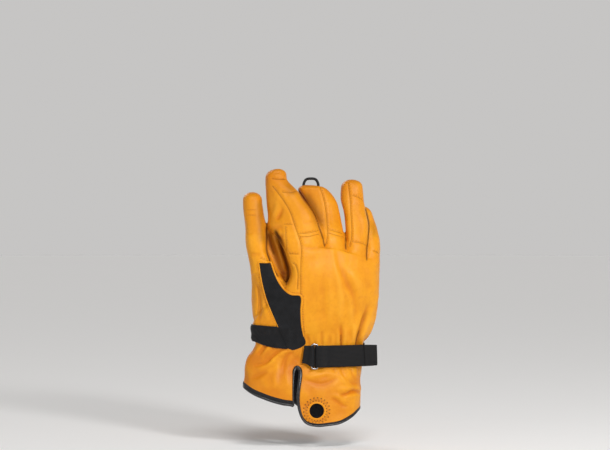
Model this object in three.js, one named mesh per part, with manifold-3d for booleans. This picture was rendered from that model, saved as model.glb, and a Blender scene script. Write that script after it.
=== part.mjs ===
import * as THREE from 'three';
import { mergeVertices } from 'three/addons/utils/BufferGeometryUtils.js';
import Module from 'manifold-3d';

// A right-hand leather glove for winter climbing, hanging with its fingers up from the cord loop on its middle
// fingertip. Millimetres, +Z up, thumb toward -X, back of the hand toward -Y. The origin is the loop's crown.

const wasm = await Module();
wasm.setup();

// Walls and seams.
const GAP = 0.3;
const WALL = 2.4;
const CUFF_WALL = 2.0;
const LINING_WALL = 1.2;
const FOUR_SIDES = 2.5;

// Where the pieces are sewn to each other, from the knuckles down.
const KNUCKLE_Z = { index: -79.4, middle: -82, ring: -88, little: -95.5 };
const CROTCH_X = { middle: 15.6, ring: 41, little: 65.2 };
const TIP_SEAM_Z = { index: -16, middle: -27, ring: -25 };
const THUMB_BASE_Z = -96;
const WRIST_Z = -198;

// Webbing at the wrist.
const WEBBING_WIDTH = 25;
const WEBBING = 1.7;
const STRAP_MIDDLE_Z = -205.2;
const STRAP_FREE_END_X = 78;
const WIRE = 2.2;
const WIRE_RING = { left: 0.8, right: 7.6, height: 30.4 };

// The opening of the cuff.
const BINDING_HEIGHT = 4.6;
const BINDING_WALL = 3.4;
const BINDING_PROUD = 0.4;
const EYELET = { x: 6.6, z: -267.3, radius: 9.2 };
const LOOP = { halfWidth: 8.2, cord: 3.2 };

const LEATHER = { color: 0xf0a032, roughness: 0.55, metalness: 0 };
const LEATHER_SHADE = { color: 0xd98a2a, roughness: 0.6, metalness: 0 };
const FABRIC = { color: 0x1f2127, roughness: 0.85, metalness: 0 };
const WEBBING_BLACK = { color: 0x2b2b2d, roughness: 0.8, metalness: 0 };
const PIPING = { color: 0x26272b, roughness: 0.4, metalness: 0 };
const STEEL = { color: 0x9a9ca0, roughness: 0.3, metalness: 1 };

// Every soft form is a stack of level ovals. A row gives an oval's height, its left and right edges, the depth of
// its middle, half its thickness, and how far it slants back for each millimetre to the right.
const COLUMNS = ['z', 'left', 'right', 'middle', 'half', 'slant'];
const table = (rows) => rows.map((row) => Object.fromEntries(COLUMNS.map((name, i) => [name, row[i]])));

const BODY = table([
  [-290, -79.5, 57.0, -2, 33.0, 0.10],
  [-264, -79.0, 57.3, -2, 32.0, 0.12],
  [-237, -78.0, 58.0, -3, 30.0, 0.14],
  [-226, -76.6, 58.3, -3, 27.5, 0.14],
  [-217, -75.6, 58.6, -4, 22.8, 0.16],
  [-206, -73.0, 58.6, -4, 21.6, 0.17],
  [-198, -67.0, 59.0, -5, 21.0, 0.18],
  [-191, -63.5, 61.0, -5, 20.6, 0.19],
  [-182, -66.5, 67.5, -6, 21.0, 0.20],
  [-170, -67.6, 73.6, -8, 23.0, 0.24],
  [-155, -60.0, 77.0, -10, 24.0, 0.27],
  [-140, -44.0, 78.8, -12, 24.0, 0.30],
  [-125, -30.0, 79.6, -14, 23.0, 0.33],
  [-108, -23.0, 80.0, -16, 21.0, 0.36],
  [-96, -26.0, 80.3, -17, 19.0, 0.38],
  [-79, -32.2, 80.5, -18, 17.5, 0.38],
  [-70, -38.0, 80.5, -18, 17.0, 0.38],
]);

const THUMB_MOUND = table([
  [-192, -50.0, 10.0, -12, 10.0, 0.18],
  [-175, -60.0, 8.0, -17, 14.0, 0.15],
  [-163, -66.0, 4.0, -18, 17.0, 0.05],
  [-152, -68.0, -1.0, -18, 19.0, -0.05],
  [-140, -68.5, -8.0, -18, 20.0, -0.15],
  [-118, -68.5, -31.0, -22, 17.0, -0.15],
  [-108, -68.7, -38.3, -24, 15.5, -0.10],
  [-96, -70.6, -45.4, -25, 14.5, 0.00],
  [-90, -71.6, -47.5, -25, 14.5, 0.00],
]);

const THUMB_CROTCH = table([
  [-140, -56.0, 14.0, -14.0, 12.0, 0.05],
  [-118, -58.0, 14.0, -15.0, 10.0, 0.03],
  [-95, -57.0, 4.0, -15.0, 8.5, 0.00],
  [-75, -54.0, -14.0, -16.5, 7.5, 0.00],
  [-62, -54.0, -26.0, -18.0, 7.0, 0.00],
  [-50, -54.0, -34.0, -19.0, 6.5, 0.00],
]);

const THUMB = table([
  [-100, -70.0, -43.5, -25, 14.5, 0.00],
  [-82.6, -73.6, -50.4, -25, 14.5, 0.00],
  [-71.3, -75.0, -51.2, -24, 14.5, 0.00],
  [-52, -76.1, -52.2, -21, 14.0, 0.00],
  [-35.7, -78.0, -55.7, -17, 13.5, 0.00],
  [-15, -79.5, -57.0, -12, 13.0, 0.00],
]);

const INDEX = table([
  [-84, -30.0, 15.5, -29, 17.0, 0.25],
  [-67.3, -40.3, 12.6, -28, 17.5, 0.10],
  [-57.5, -48.8, 9.2, -27, 17.0, -0.05],
  [-47.2, -49.9, 5.2, -27, 15.5, -0.15],
  [-38, -50.1, 0.6, -26, 14.5, -0.20],
  [-25.3, -51.5, -8.4, -23, 13.5, -0.20],
  [-16.1, -52.6, -14.4, -20, 13.0, -0.15],
  [-9.8, -53.2, -20.5, -19, 12.5, -0.10],
  [-3.9, -53.4, -26.5, -17, 12.0, 0.00],
  [10.8, -52.0, -27.0, -15, 12.0, 0.00],
]);

const MIDDLE = table([
  [-86, 16.2, 41.0, -17, 16.0, 0.35],
  [-69.7, 10.5, 39.5, -14, 14.5, 0.30],
  [-53, 3.5, 37.0, -9, 13.5, 0.25],
  [-40, -2.3, 34.5, -5, 13.0, 0.20],
  [-29, -8.0, 30.5, -2, 13.0, 0.15],
  [-16, -14.4, 22.5, 0, 12.0, 0.05],
  [-7.2, -16.1, 13.8, 0, 10.0, 0.00],
]);

const RING = table([
  [-92, 41.3, 65.2, -7, 15.0, 0.40],
  [-68.5, 40.0, 66.9, -4, 13.5, 0.35],
  [-54, 39.1, 68.2, -1, 13.0, 0.30],
  [-44.9, 38.2, 66.9, 1, 13.0, 0.25],
  [-35.7, 36.8, 64.1, 3, 12.5, 0.20],
  [-25.3, 35.1, 61.8, 5, 12.0, 0.15],
  [-0.3, 36.0, 59.0, 8, 11.5, 0.10],
]);

const LITTLE = table([
  [-99, 65.5, 80.3, 1, 13.0, 0.40],
  [-72, 61.5, 80.5, 7, 12.0, 0.35],
  [-59, 58.6, 78.0, 12, 11.5, 0.30],
  [-48.5, 55.2, 74.6, 16, 11.0, 0.30],
  [-31, 51.0, 68.0, 20, 10.5, 0.25],
]);

const MOUND_BOTTOM_Z = -190;
const CROTCH_WEB = { bottom: -138, top: -53, dome: 9 };
const TOPS = { thumb: -15.6, index: 10.8, middle: -7.2, ring: -0.3, little: -31 };
const DOMES = { thumb: 9, index: 9, middle: 5, ring: 9, little: 8 };

// The row of a table at any height, curving smoothly from row to row.
function rowAt(rows, z) {
  const ordered = rows[0].z < rows[1].z ? rows : [...rows].reverse();
  const last = ordered.length - 1;
  const i = Math.min(Math.max(ordered.findIndex((row) => row.z > z) - 1, 0), last - 1);
  const k = z >= ordered[last].z ? last - 1 : i;
  const span = ordered[k + 1].z - ordered[k].z;
  const t = THREE.MathUtils.clamp((z - ordered[k].z) / span, 0, 1);
  const before = ordered[Math.max(k - 1, 0)];
  const after = ordered[Math.min(k + 2, last)];
  const row = { z };
  for (const name of COLUMNS.slice(1)) {
    const a = ordered[k][name];
    const b = ordered[k + 1][name];
    const slopeA = (b - before[name]) / (ordered[k + 1].z - before.z) * span;
    const slopeB = (after[name] - a) / (after.z - ordered[k].z) * span;
    row[name] = a * (1 + 2 * t) * (1 - t) ** 2 + b * t * t * (3 - 2 * t)
      + slopeA * t * (1 - t) ** 2 + slopeB * t * t * (t - 1);
  }
  return row;
}

// A point of a table's surface: angle 0 is its right edge, 90 degrees its far side, 270 degrees its near side.
function skinPoint(rows, angle, z, inset = 0, shrink = 1) {
  const row = rowAt(rows, z);
  const centre = (row.left + row.right) / 2;
  const power = 2 / FOUR_SIDES;
  const cosine = Math.cos(angle);
  const sine = Math.sin(angle);
  const halfWidth = ((row.right - row.left) / 2 - inset) * shrink;
  const halfThick = (row.half - inset) * shrink;
  const across = Math.sign(cosine) * Math.abs(cosine) ** power * halfWidth;
  const through = Math.sign(sine) * Math.abs(sine) ** power * halfThick;
  return new THREE.Vector3(centre + across, row.middle + row.slant * across + through, z);
}

function manifoldOf(geometry) {
  const plain = geometry.index ? geometry : geometry.clone();
  for (const name of ['normal', 'uv']) {
    plain.deleteAttribute(name);
  }
  const merged = mergeVertices(plain, 1e-4);
  return new wasm.Manifold(new wasm.Mesh({
    numProp: 3,
    vertProperties: new Float32Array(merged.attributes.position.array),
    triVerts: new Uint32Array(merged.index.array),
  }));
}

// A closed hoop from rings of points, each ring joined to the next and the last to the first.
function hoopOfRings(rings) {
  const sides = rings[0].length;
  const index = [];
  for (let r = 0; r < rings.length; r += 1) {
    for (let s = 0; s < sides; s += 1) {
      const a = r * sides + s;
      const b = r * sides + (s + 1) % sides;
      const c = (r + 1) % rings.length * sides + (s + 1) % sides;
      const d = (r + 1) % rings.length * sides + s;
      index.push(a, b, c, a, c, d);
    }
  }
  const geometry = new THREE.BufferGeometry().setFromPoints(rings.flat());
  geometry.setIndex(index);
  return manifoldOf(geometry);
}

// A closed solid from rings of points, each ring joined to the next and the two ends closed by fans.
function solidOfRings(rings) {
  const sides = rings[0].length;
  const points = rings.flat();
  const centreOf = (ring) => ring.reduce((sum, p) => sum.add(p), new THREE.Vector3()).divideScalar(sides);
  points.push(centreOf(rings[0]), centreOf(rings[rings.length - 1]));
  const index = [];
  for (let r = 0; r + 1 < rings.length; r += 1) {
    for (let s = 0; s < sides; s += 1) {
      const a = r * sides + s;
      const b = r * sides + (s + 1) % sides;
      index.push(a, b, b + sides, a, b + sides, a + sides);
    }
  }
  const top = (rings.length - 1) * sides;
  for (let s = 0; s < sides; s += 1) {
    const next = (s + 1) % sides;
    index.push(points.length - 2, next, s);
    index.push(points.length - 1, top + s, top + next);
  }
  const geometry = new THREE.BufferGeometry().setFromPoints(points);
  geometry.setIndex(index);
  return manifoldOf(geometry);
}

// The solid of a table between two heights; with a dome its top rounds off like a fingertip.
function loft(rows, { bottom, top, dome = 0, inset = 0, sides = 20, step = 9 }) {
  const ringAt = (z, shrink) => Array.from({ length: sides }, (_, s) =>
    skinPoint(rows, s / sides * 2 * Math.PI, z, inset, shrink));
  const straightTop = top - dome - (dome ? inset : 0);
  const count = Math.max(1, Math.ceil((straightTop - bottom) / step));
  const rings = [];
  for (let r = 0; r <= count; r += 1) {
    rings.push(ringAt(bottom + (straightTop - bottom) * r / count, 1));
  }
  for (const share of dome ? [0.42, 0.76, 0.975] : []) {
    rings.push(ringAt(straightTop + dome * share, Math.sqrt(1 - share * share)));
  }
  return solidOfRings(rings);
}

// A wall that follows a table's surface round from one angle to another. The heights of its levels, lowest first,
// may change on the way; it reaches from one depth in the surface to another.
function wall(rows, { angles, heights, inner, outer, closed = false }) {
  const grid = (inset) => angles.map((angle) => heights(angle).map((z) => skinPoint(rows, angle, z, inset)));
  const outside = grid(outer);
  const inside = grid(inner);
  const loops = angles.map((_, i) => [...inside[i], ...outside[i].reverse()]);
  return closed ? hoopOfRings(loops) : solidOfRings(loops);
}

const shapeOf = (points) => new THREE.Shape(points.map(([x, y]) => new THREE.Vector2(x, y)));

// An outline drawn in plan and carried up.
function planPrism(points, bottom, top) {
  const geometry = new THREE.ExtrudeGeometry(shapeOf(points), { depth: top - bottom, bevelEnabled: false });
  return manifoldOf(geometry.translate(0, 0, bottom));
}

// An outline drawn as seen from the front and carried away from the viewer.
function frontPrism(points, near, far) {
  const geometry = new THREE.ExtrudeGeometry(shapeOf(points), { depth: far - near, bevelEnabled: false });
  return manifoldOf(geometry.rotateX(Math.PI / 2).translate(0, far, 0));
}

// The same outline moved out by a distance; its points run round to the left.
function grown(points, distance) {
  return points.map(([x, y], i) => {
    const [px, py] = points[(i + points.length - 1) % points.length];
    const [nx, ny] = points[(i + 1) % points.length];
    const arriving = new THREE.Vector2(x - px, y - py).normalize();
    const leaving = new THREE.Vector2(nx - x, ny - y).normalize();
    const along = arriving.clone().add(leaving).normalize();
    const reach = distance / Math.max(0.4, along.dot(leaving));
    return [x + along.y * reach, y - along.x * reach];
  });
}

// The one body that a cut leaves, without the crumbs beside it.
function mainBody(solid) {
  return solid.decompose().reduce((best, part) => (part.volume() > best.volume() ? part : best));
}

const glove = new THREE.Group();

function addPiece(name, solid, finish) {
  const mesh = mainBody(solid).getMesh();
  const geometry = new THREE.BufferGeometry();
  geometry.setAttribute('position', new THREE.BufferAttribute(mesh.vertProperties, mesh.numProp));
  geometry.setIndex(new THREE.BufferAttribute(mesh.triVerts, 1));
  geometry.computeVertexNormals();
  const piece = new THREE.Mesh(geometry, new THREE.MeshStandardMaterial(finish));
  piece.name = name;
  glove.add(piece);
}

// Fingers and thumb: each is a hollow tube that its neighbours, already made, press in.
const FINGERS = {
  thumb: { rows: THUMB, base: THUMB_BASE_Z, neighbours: [] },
  index: { rows: INDEX, base: KNUCKLE_Z.index, neighbours: ['thumb'] },
  middle: { rows: MIDDLE, base: KNUCKLE_Z.middle, neighbours: ['index'] },
  ring: { rows: RING, base: KNUCKLE_Z.ring, neighbours: ['middle'] },
  little: { rows: LITTLE, base: KNUCKLE_Z.little, neighbours: ['ring'] },
};

function fingerLoft(name, { inset = 0, bottom = FINGERS[name].base + GAP, sides = 14, step = 11 }) {
  return loft(FINGERS[name].rows, { bottom, top: TOPS[name], dome: DOMES[name], inset, sides, step });
}

function fingerShell(name) {
  const { base, neighbours } = FINGERS[name];
  let outside = fingerLoft(name, {});
  let inside = fingerLoft(name, { inset: WALL, bottom: base - 2, sides: 10, step: 16 });
  for (const neighbour of neighbours) {
    outside = outside.subtract(fingerLoft(neighbour, { inset: -GAP }));
    inside = inside.subtract(fingerLoft(neighbour, { inset: -GAP - WALL }));
  }
  return outside.subtract(inside);
}

// Cuts start in front of the glove and reach past it on every side.
const FAR_OUT = 120;
const FRONT_Y = -90;
const above = (z) => planPrism([[-FAR_OUT, -FAR_OUT], [FAR_OUT, -FAR_OUT], [FAR_OUT, FAR_OUT], [-FAR_OUT, FAR_OUT]],
  z, FAR_OUT);

for (const name of ['index', 'middle', 'ring', 'little']) {
  const shell = fingerShell(name);
  if (name in TIP_SEAM_Z) {
    const seam = TIP_SEAM_Z[name];
    addPiece(`${name}_finger`, shell.subtract(above(seam - GAP / 2)), LEATHER);
    addPiece(`${name}_tip`, shell.intersect(above(seam + GAP / 2)), LEATHER);
  } else {
    addPiece(`${name}_finger`, shell, LEATHER);
  }
}
addPiece('thumb', fingerShell('thumb'), LEATHER);

// The hand: back, palm and thumb mound in one shell, its top stepped down from finger to finger.
function handSolid(inset, knuckleDrop, bottom, sides) {
  let solid = loft(BODY, { bottom, top: KNUCKLE_Z.index - knuckleDrop, inset, sides, step: 13 });
  for (const name of ['middle', 'ring', 'little']) {
    const x = CROTCH_X[name] - knuckleDrop;
    solid = solid.subtract(planPrism([[x, -FAR_OUT], [FAR_OUT, -FAR_OUT], [FAR_OUT, FAR_OUT], [x, FAR_OUT]],
      KNUCKLE_Z[name] - knuckleDrop, FAR_OUT));
  }
  const moundTop = knuckleDrop ? THUMB_BASE_Z + 1 : THUMB_BASE_Z;
  solid = solid.add(loft(THUMB_MOUND, { bottom: MOUND_BOTTOM_Z, top: moundTop, inset, sides: 16, step: 14 }));
  return solid.add(loft(THUMB_CROTCH, { ...CROTCH_WEB, inset, sides: 12, step: 20 }));
}

const HAND_SIDES = 26;
let handOutside = handSolid(0, 0, WRIST_Z + GAP / 2, HAND_SIDES);
let handInside = handSolid(WALL, WALL, WRIST_Z - 1, 18);
for (const [name, { rows, base }] of Object.entries(FINGERS)) {
  handOutside = handOutside.subtract(fingerLoft(name, { inset: -GAP, bottom: base }));
  handInside = handInside.subtract(fingerLoft(name, { inset: -GAP - WALL, bottom: base - WALL }));
  handInside = handInside.add(loft(rows, { bottom: base - 5, top: base + 1, inset: WALL, sides: 10 }));
}
let hand = handOutside.subtract(handInside);

// The stretch panel runs from the thumb's base down the side of the hand to a point under the wrist band.
const GUSSET = [
  [-60.1, -96.6], [-58.5, -108.3], [-54.5, -128.3], [-50.9, -140.5], [-45.1, -154.6], [-39.2, -167.6],
  [-26.3, -195.7], [-20.5, -197.6], [-14.6, -196.3], [-6.3, -190.4], [-8.7, -180.4], [-10.5, -167.6],
  [-11.3, -152.3], [-12.0, -133.6], [-22.8, -133.1], [-29.8, -128.3], [-36.9, -118.9], [-41.5, -109.6],
  [-46.2, -96.6],
];
const GUSSET_DEPTH_Y = -17;
const SIDE_SEAM_X = -11.6;
const BACK_PANEL = [[SIDE_SEAM_X, -90], [100, -90], [100, 6], [50, 3], [SIDE_SEAM_X, -19]];
const BELOW_WRIST_Z = -210;
const backCut = planPrism(BACK_PANEL, BELOW_WRIST_Z, KNUCKLE_Z.index);
const backSeamCut = planPrism(grown(BACK_PANEL, GAP), BELOW_WRIST_Z, KNUCKLE_Z.index + GAP);
addPiece('side_gusset', hand.intersect(frontPrism(GUSSET, FRONT_Y, GUSSET_DEPTH_Y - GAP)), FABRIC);
hand = hand.subtract(frontPrism(grown(GUSSET, GAP), FRONT_Y, GUSSET_DEPTH_Y));
addPiece('back_panel', hand.intersect(backCut), LEATHER);
addPiece('palm_panel', hand.subtract(backSeamCut), LEATHER_SHADE);

// The cuff's lower edge, from the front by x and round the back in one slope.
const FRONT_HEM = [
  [-80, -235], [-67.4, -242.7], [-55.7, -247.4], [-43.9, -251.4], [-32.2, -254.4], [-21.6, -256.1], [-17, -258],
  [-13.5, -262], [-9.9, -272], [-4, -279], [6.6, -282], [20.6, -281.4], [35.9, -279], [47.6, -273], [58, -264],
];
const BACK_HEM = [
  [-80, -235], [-50, -246], [-26, -254.5], [-14, -264], [-3, -276], [8, -281], [24, -281], [42, -276], [58, -264],
];

function alongTable(points, x) {
  const i = Math.max(0, Math.min(points.length - 2, points.findIndex(([px]) => px > x) - 1));
  const [x0, z0] = points[i];
  const [x1, z1] = points[i + 1];
  return z0 + (z1 - z0) * THREE.MathUtils.clamp((x - x0) / (x1 - x0), 0, 1);
}

function hemAt(angle) {
  const { x } = skinPoint(BODY, angle, -262);
  return alongTable(Math.sin(angle) <= 0 ? FRONT_HEM : BACK_HEM, x);
}

function angleOfX(x, z) {
  const row = rowAt(BODY, z);
  const share = (x - (row.left + row.right) / 2) / ((row.right - row.left) / 2);
  return 2 * Math.PI - Math.acos(Math.sign(share) * Math.abs(share) ** (FOUR_SIDES / 2));
}

const evenAngles = Array.from({ length: 30 }, (_, i) => i / 30 * 2 * Math.PI);
const slitAngles = [-21.6, -17, -13.5, -9.9, -4, 2].map((x) => angleOfX(x, -262));
const CUFF_ANGLES = [...evenAngles, ...slitAngles].sort((a, b) => a - b)
  .filter((angle, i, all) => i === 0 || angle - all[i - 1] > 0.02);

const SLIT = [
  [-21.2, -300], [-13.6, -300], [-13.6, -244], [-11.5, -232], [-10.3, -223], [-12.6, -217.6], [-16.2, -216],
  [-19.6, -218], [-21.2, -222.5],
];
const SLIT_GAP = [[-19.2, -300], [-17.6, -300], [-17.6, -232], [-18.4, -229], [-19.2, -232]];
const FRONT_ONLY_Y = -8;

function eyeletCut(extra) {
  const { x, z, radius } = EYELET;
  const drill = new THREE.CylinderGeometry(radius + extra, radius + extra, FRONT_ONLY_Y - FRONT_Y, 16);
  return manifoldOf(drill.translate(x, (FRONT_ONLY_Y + FRONT_Y) / 2, z));
}

const slitCut = frontPrism(SLIT, FRONT_Y, FRONT_ONLY_Y);
const FLARE_Z = -219;

// The levels of the cuff: a straight stretch under the strap, then the flare down to the hem.
function cuffHeights(angle) {
  const hem = hemAt(angle);
  return [...[0, 0.25, 0.5, 0.75, 1].map((share) => hem + (FLARE_Z - hem) * share), WRIST_Z - GAP / 2];
}

function cuffRing(outer, inner) {
  return wall(BODY, { angles: CUFF_ANGLES, heights: cuffHeights, outer, inner, closed: true });
}
addPiece('cuff', cuffRing(0, CUFF_WALL).subtract(slitCut).subtract(eyeletCut(0)), LEATHER);

const bindingHeights = (angle) => [hemAt(angle) - BINDING_HEIGHT, hemAt(angle) - GAP];
const bindingRing = wall(BODY, { angles: CUFF_ANGLES, heights: bindingHeights, inner: BINDING_WALL - BINDING_PROUD,
  outer: -BINDING_PROUD, closed: true });
addPiece('hem_binding', bindingRing.subtract(slitCut), PIPING);

const pipingHeights = (angle) => [hemAt(angle) - BINDING_HEIGHT, ...cuffHeights(angle).slice(1)];
const pipingRing = wall(BODY, { angles: CUFF_ANGLES, heights: pipingHeights, inner: BINDING_WALL - BINDING_PROUD,
  outer: -2 * BINDING_PROUD, closed: true });
const piping = pipingRing.intersect(frontPrism(grown(SLIT, -GAP), FRONT_Y, FRONT_ONLY_Y));
addPiece('slit_piping', piping.subtract(frontPrism(SLIT_GAP, FRONT_Y, FRONT_ONLY_Y)), PIPING);

const liningOutside = CUFF_WALL + 3 * GAP;
const liningRing = cuffRing(liningOutside, liningOutside + LINING_WALL);
const LINING_BACK_AT = { slit: 1.5, eyelet: 0.6 };
const liningSlit = frontPrism(grown(SLIT, LINING_BACK_AT.slit), FRONT_Y, FRONT_ONLY_Y);
addPiece('cuff_lining', liningRing.subtract(liningSlit).subtract(eyeletCut(LINING_BACK_AT.eyelet)), FABRIC);

// The wrist band lies on the hand from the gusset's point round the far side to where the strap turns back.
const BAND = { startX: 15.5, endX: -30, halfHeight: 12, leftZ: -178.5, endZ: -184 };
const bandStart = angleOfX(BAND.startX, STRAP_MIDDLE_Z) - 2 * Math.PI;
const bandEnd = angleOfX(BAND.endX, BAND.endZ);
const handAngles = Array.from({ length: 2 * HAND_SIDES }, (_, i) => (i - HAND_SIDES) / HAND_SIDES * 2 * Math.PI);
const bandAngles = [bandStart, ...handAngles.filter((angle) => angle > bandStart + 0.05 && angle < bandEnd - 0.05),
  bandEnd];

function bandMiddle(angle) {
  const far = THREE.MathUtils.smoothstep(angle, 0, Math.PI);
  const near = THREE.MathUtils.clamp((angle - Math.PI) / (bandEnd - Math.PI), 0, 1);
  return STRAP_MIDDLE_Z + (BAND.leftZ - STRAP_MIDDLE_Z) * far + (BAND.endZ - BAND.leftZ) * near;
}

const bandHeights = (angle) => [-1, 0, 1].map((side) => bandMiddle(angle) + side * BAND.halfHeight);
const band = wall(BODY, { angles: bandAngles, heights: bandHeights, inner: -GAP, outer: -GAP - WEBBING });
const underBand = handSolid(-GAP, 0, WRIST_Z, HAND_SIDES).add(cuffRing(-GAP, CUFF_WALL));
addPiece('wrist_band', band.subtract(underBand), WEBBING_BLACK);

// Strap and keeper are webbing folded round the two legs of the wire ring, seen here in plan.
const STRAP_LOWEST_Z = STRAP_MIDDLE_Z - WEBBING_WIDTH / 2;
const surfaceY = (x) => skinPoint(BODY, angleOfX(x, STRAP_LOWEST_Z), STRAP_LOWEST_Z).y - GAP;
const FOLD_RADIUS = WIRE / 2 + 1.6 * GAP + WEBBING / 2;
const wireY = (x) => surfaceY(x) - GAP - WEBBING / 2 - FOLD_RADIUS;

function webbing(centreLine, middleZ, width) {
  const points = centreLine.map(([x, y]) => new THREE.Vector2(x, y));
  const sideOf = (sign) => points.map((point, i) => {
    const before = points[Math.max(i - 1, 0)];
    const after = points[Math.min(i + 1, points.length - 1)];
    const along = after.clone().sub(before).normalize();
    return [point.x + sign * along.y * WEBBING / 2, point.y - sign * along.x * WEBBING / 2];
  });
  return planPrism([...sideOf(1), ...sideOf(-1).reverse()], middleZ - width / 2, middleZ + width / 2);
}

// The turn of webbing round a leg of the ring, bulging to the left or, with side -1, to the right.
function turn(legX, side) {
  return [75, 45, 15, -15, -45, -75].map((degrees) => {
    const angle = THREE.MathUtils.degToRad(degrees);
    return [legX - side * Math.cos(angle) * FOLD_RADIUS, wireY(legX) + Math.sin(angle) * FOLD_RADIUS];
  });
}

const restY = (x) => surfaceY(x) - GAP - WEBBING / 2;
const toplayerY = (x) => surfaceY(x) - 2 * GAP - 1.5 * WEBBING;
const STRAP_LEAVES_X = 34;
const leavingSlope = (toplayerY(STRAP_LEAVES_X + 1) - toplayerY(STRAP_LEAVES_X - 1)) / 2;
const strapLine = [
  [14.6, restY(14.6)],
  [11, restY(11)],
  ...turn(WIRE_RING.right, 1),
  [11.5, wireY(11.5) - FOLD_RADIUS],
  ...[19, 26, STRAP_LEAVES_X].map((x) => [x, toplayerY(x)]),
  [STRAP_FREE_END_X, toplayerY(STRAP_LEAVES_X) + leavingSlope * (STRAP_FREE_END_X - STRAP_LEAVES_X)],
];
addPiece('wrist_strap', webbing(strapLine, STRAP_MIDDLE_Z, WEBBING_WIDTH), WEBBING_BLACK);

const keeperLine = [
  [-7.6, restY(-7.6)],
  [-3, restY(-3)],
  ...turn(WIRE_RING.left, -1),
  [-3, toplayerY(-3) - 0.2],
  [-7.6, toplayerY(-7.6) - 0.2],
];
addPiece('strap_keeper', webbing(keeperLine, STRAP_MIDDLE_Z + 0.6, WEBBING_WIDTH - 1.4), FABRIC);

// The wire ring: a slim rounded rectangle of round wire.
function wireRing() {
  const { left, right, height } = WIRE_RING;
  const corner = 2.6;
  const halfHeight = height / 2 - WIRE / 2;
  const centres = [];
  for (const [x, z, from] of [[right, halfHeight, 0], [left, halfHeight, 90], [left, -halfHeight, 180],
    [right, -halfHeight, 270]]) {
    for (const degrees of [0, 30, 60, 90]) {
      const angle = THREE.MathUtils.degToRad(from + degrees);
      const cornerX = x + (x === left ? corner : -corner);
      const cornerZ = z + (z > 0 ? -corner : corner);
      centres.push({ x: cornerX + corner * Math.cos(angle), z: cornerZ + corner * Math.sin(angle), angle });
    }
  }
  return hoopOfRings(centres.map(({ x, z, angle }) => Array.from({ length: 8 }, (_, s) => {
    const around = s / 8 * 2 * Math.PI;
    const out = Math.cos(around) * WIRE / 2;
    return new THREE.Vector3(x + out * Math.cos(angle), wireY(x) + Math.sin(around) * WIRE / 2,
      STRAP_MIDDLE_Z + z + out * Math.sin(angle));
  })));
}
addPiece('wire_ring', wireRing(), STEEL);

// The cord loop, sewn into the middle fingertip, whose crown the glove hangs by.
const { halfWidth, cord } = LOOP;
const crown = new THREE.CatmullRomCurve3([
  [-halfWidth, 1, -13], [-halfWidth, 0.6, -5.4], [-halfWidth * 0.68, 0.2, -1.1], [0, 0, 0],
  [halfWidth * 0.68, 0.2, -1.1], [halfWidth, 0.6, -5.4], [halfWidth, 1, -13],
].map(([x, y, z]) => new THREE.Vector3(x, y, z)));
const cordSection = new THREE.Shape().absarc(0, 0, cord / 2, 0, 2 * Math.PI);
const loopCord = manifoldOf(new THREE.ExtrudeGeometry(cordSection, { steps: 14, curveSegments: 4,
  extrudePath: crown }));
const fingertip = loft(MIDDLE, { bottom: TIP_SEAM_Z.middle, top: TOPS.middle, dome: DOMES.middle, inset: -GAP,
  sides: 18 });
addPiece('hang_loop', loopCord.subtract(fingertip), WEBBING_BLACK);

export default glove;
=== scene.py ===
import bmesh
import bpy
import numpy as np
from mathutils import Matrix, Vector


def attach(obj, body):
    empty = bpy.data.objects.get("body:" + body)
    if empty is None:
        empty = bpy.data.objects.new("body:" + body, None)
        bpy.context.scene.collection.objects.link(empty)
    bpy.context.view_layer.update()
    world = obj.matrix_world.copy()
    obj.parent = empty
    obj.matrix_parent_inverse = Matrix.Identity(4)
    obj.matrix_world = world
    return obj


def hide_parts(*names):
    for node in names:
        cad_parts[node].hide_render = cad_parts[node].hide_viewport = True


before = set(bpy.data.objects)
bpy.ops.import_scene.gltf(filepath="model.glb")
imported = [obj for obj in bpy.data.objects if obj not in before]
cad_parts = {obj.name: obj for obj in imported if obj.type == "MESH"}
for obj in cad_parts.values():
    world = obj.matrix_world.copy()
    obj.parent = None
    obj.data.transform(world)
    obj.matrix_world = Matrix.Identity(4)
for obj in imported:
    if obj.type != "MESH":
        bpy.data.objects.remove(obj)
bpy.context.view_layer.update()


# The leather hand: back, palm, ball of the thumb and fingers, cut from padded goatskin and turned right side out
# after sewing, so that its seams lie sunk between soft shoulders.
mm = 0.001

# Its forms are stacks of level ovals, a little squarer than ellipses, whose squareness is 2. A row holds an oval's
# height, left and right edges, middle depth, half thickness and slant back to the right, in millimetres.
squareness = 2.5
hand_rows = [
    [-290, -79.5, 57, -2, 33, .10], [-264, -79, 57.3, -2, 32, .12], [-237, -78, 58, -3, 30, .14],
    [-226, -76.6, 58.3, -3, 27.5, .14], [-217, -75.6, 58.6, -4, 22.8, .16], [-206, -73, 58.6, -4, 21.6, .17],
    [-198, -67, 59, -5, 21, .18], [-191, -63.5, 62.6, -5, 20.6, .19], [-182, -66.5, 69.2, -6, 21, .20],
    [-170, -67.6, 73.6, -8, 23, .24], [-155, -60, 77, -10, 24, .27], [-140, -44, 78.8, -12, 24, .30],
    [-125, -30, 79.6, -14, 23, .33], [-108, -23, 80, -16, 21, .36], [-96, -26, 80.3, -17, 19, .38],
    [-79, -32.2, 80.5, -18, 17.5, .38], [-70, -38, 80.5, -18, 17, .38],
]
mound_rows = [
    [-192, -50, 10, -12, 10, .18], [-175, -60, 8, -17, 14, .15], [-163, -66, 4, -18, 17, .05],
    [-152, -68, -1, -18, 19, -.05], [-140, -68.5, -8, -18, 20, -.15], [-118, -68.5, -31, -22, 17, -.15],
    [-108, -68.7, -38.3, -24, 15.5, -.10], [-96, -70.6, -45.4, -25, 14.5, 0], [-90, -71.6, -47.5, -25, 14.5, 0],
]
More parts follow.
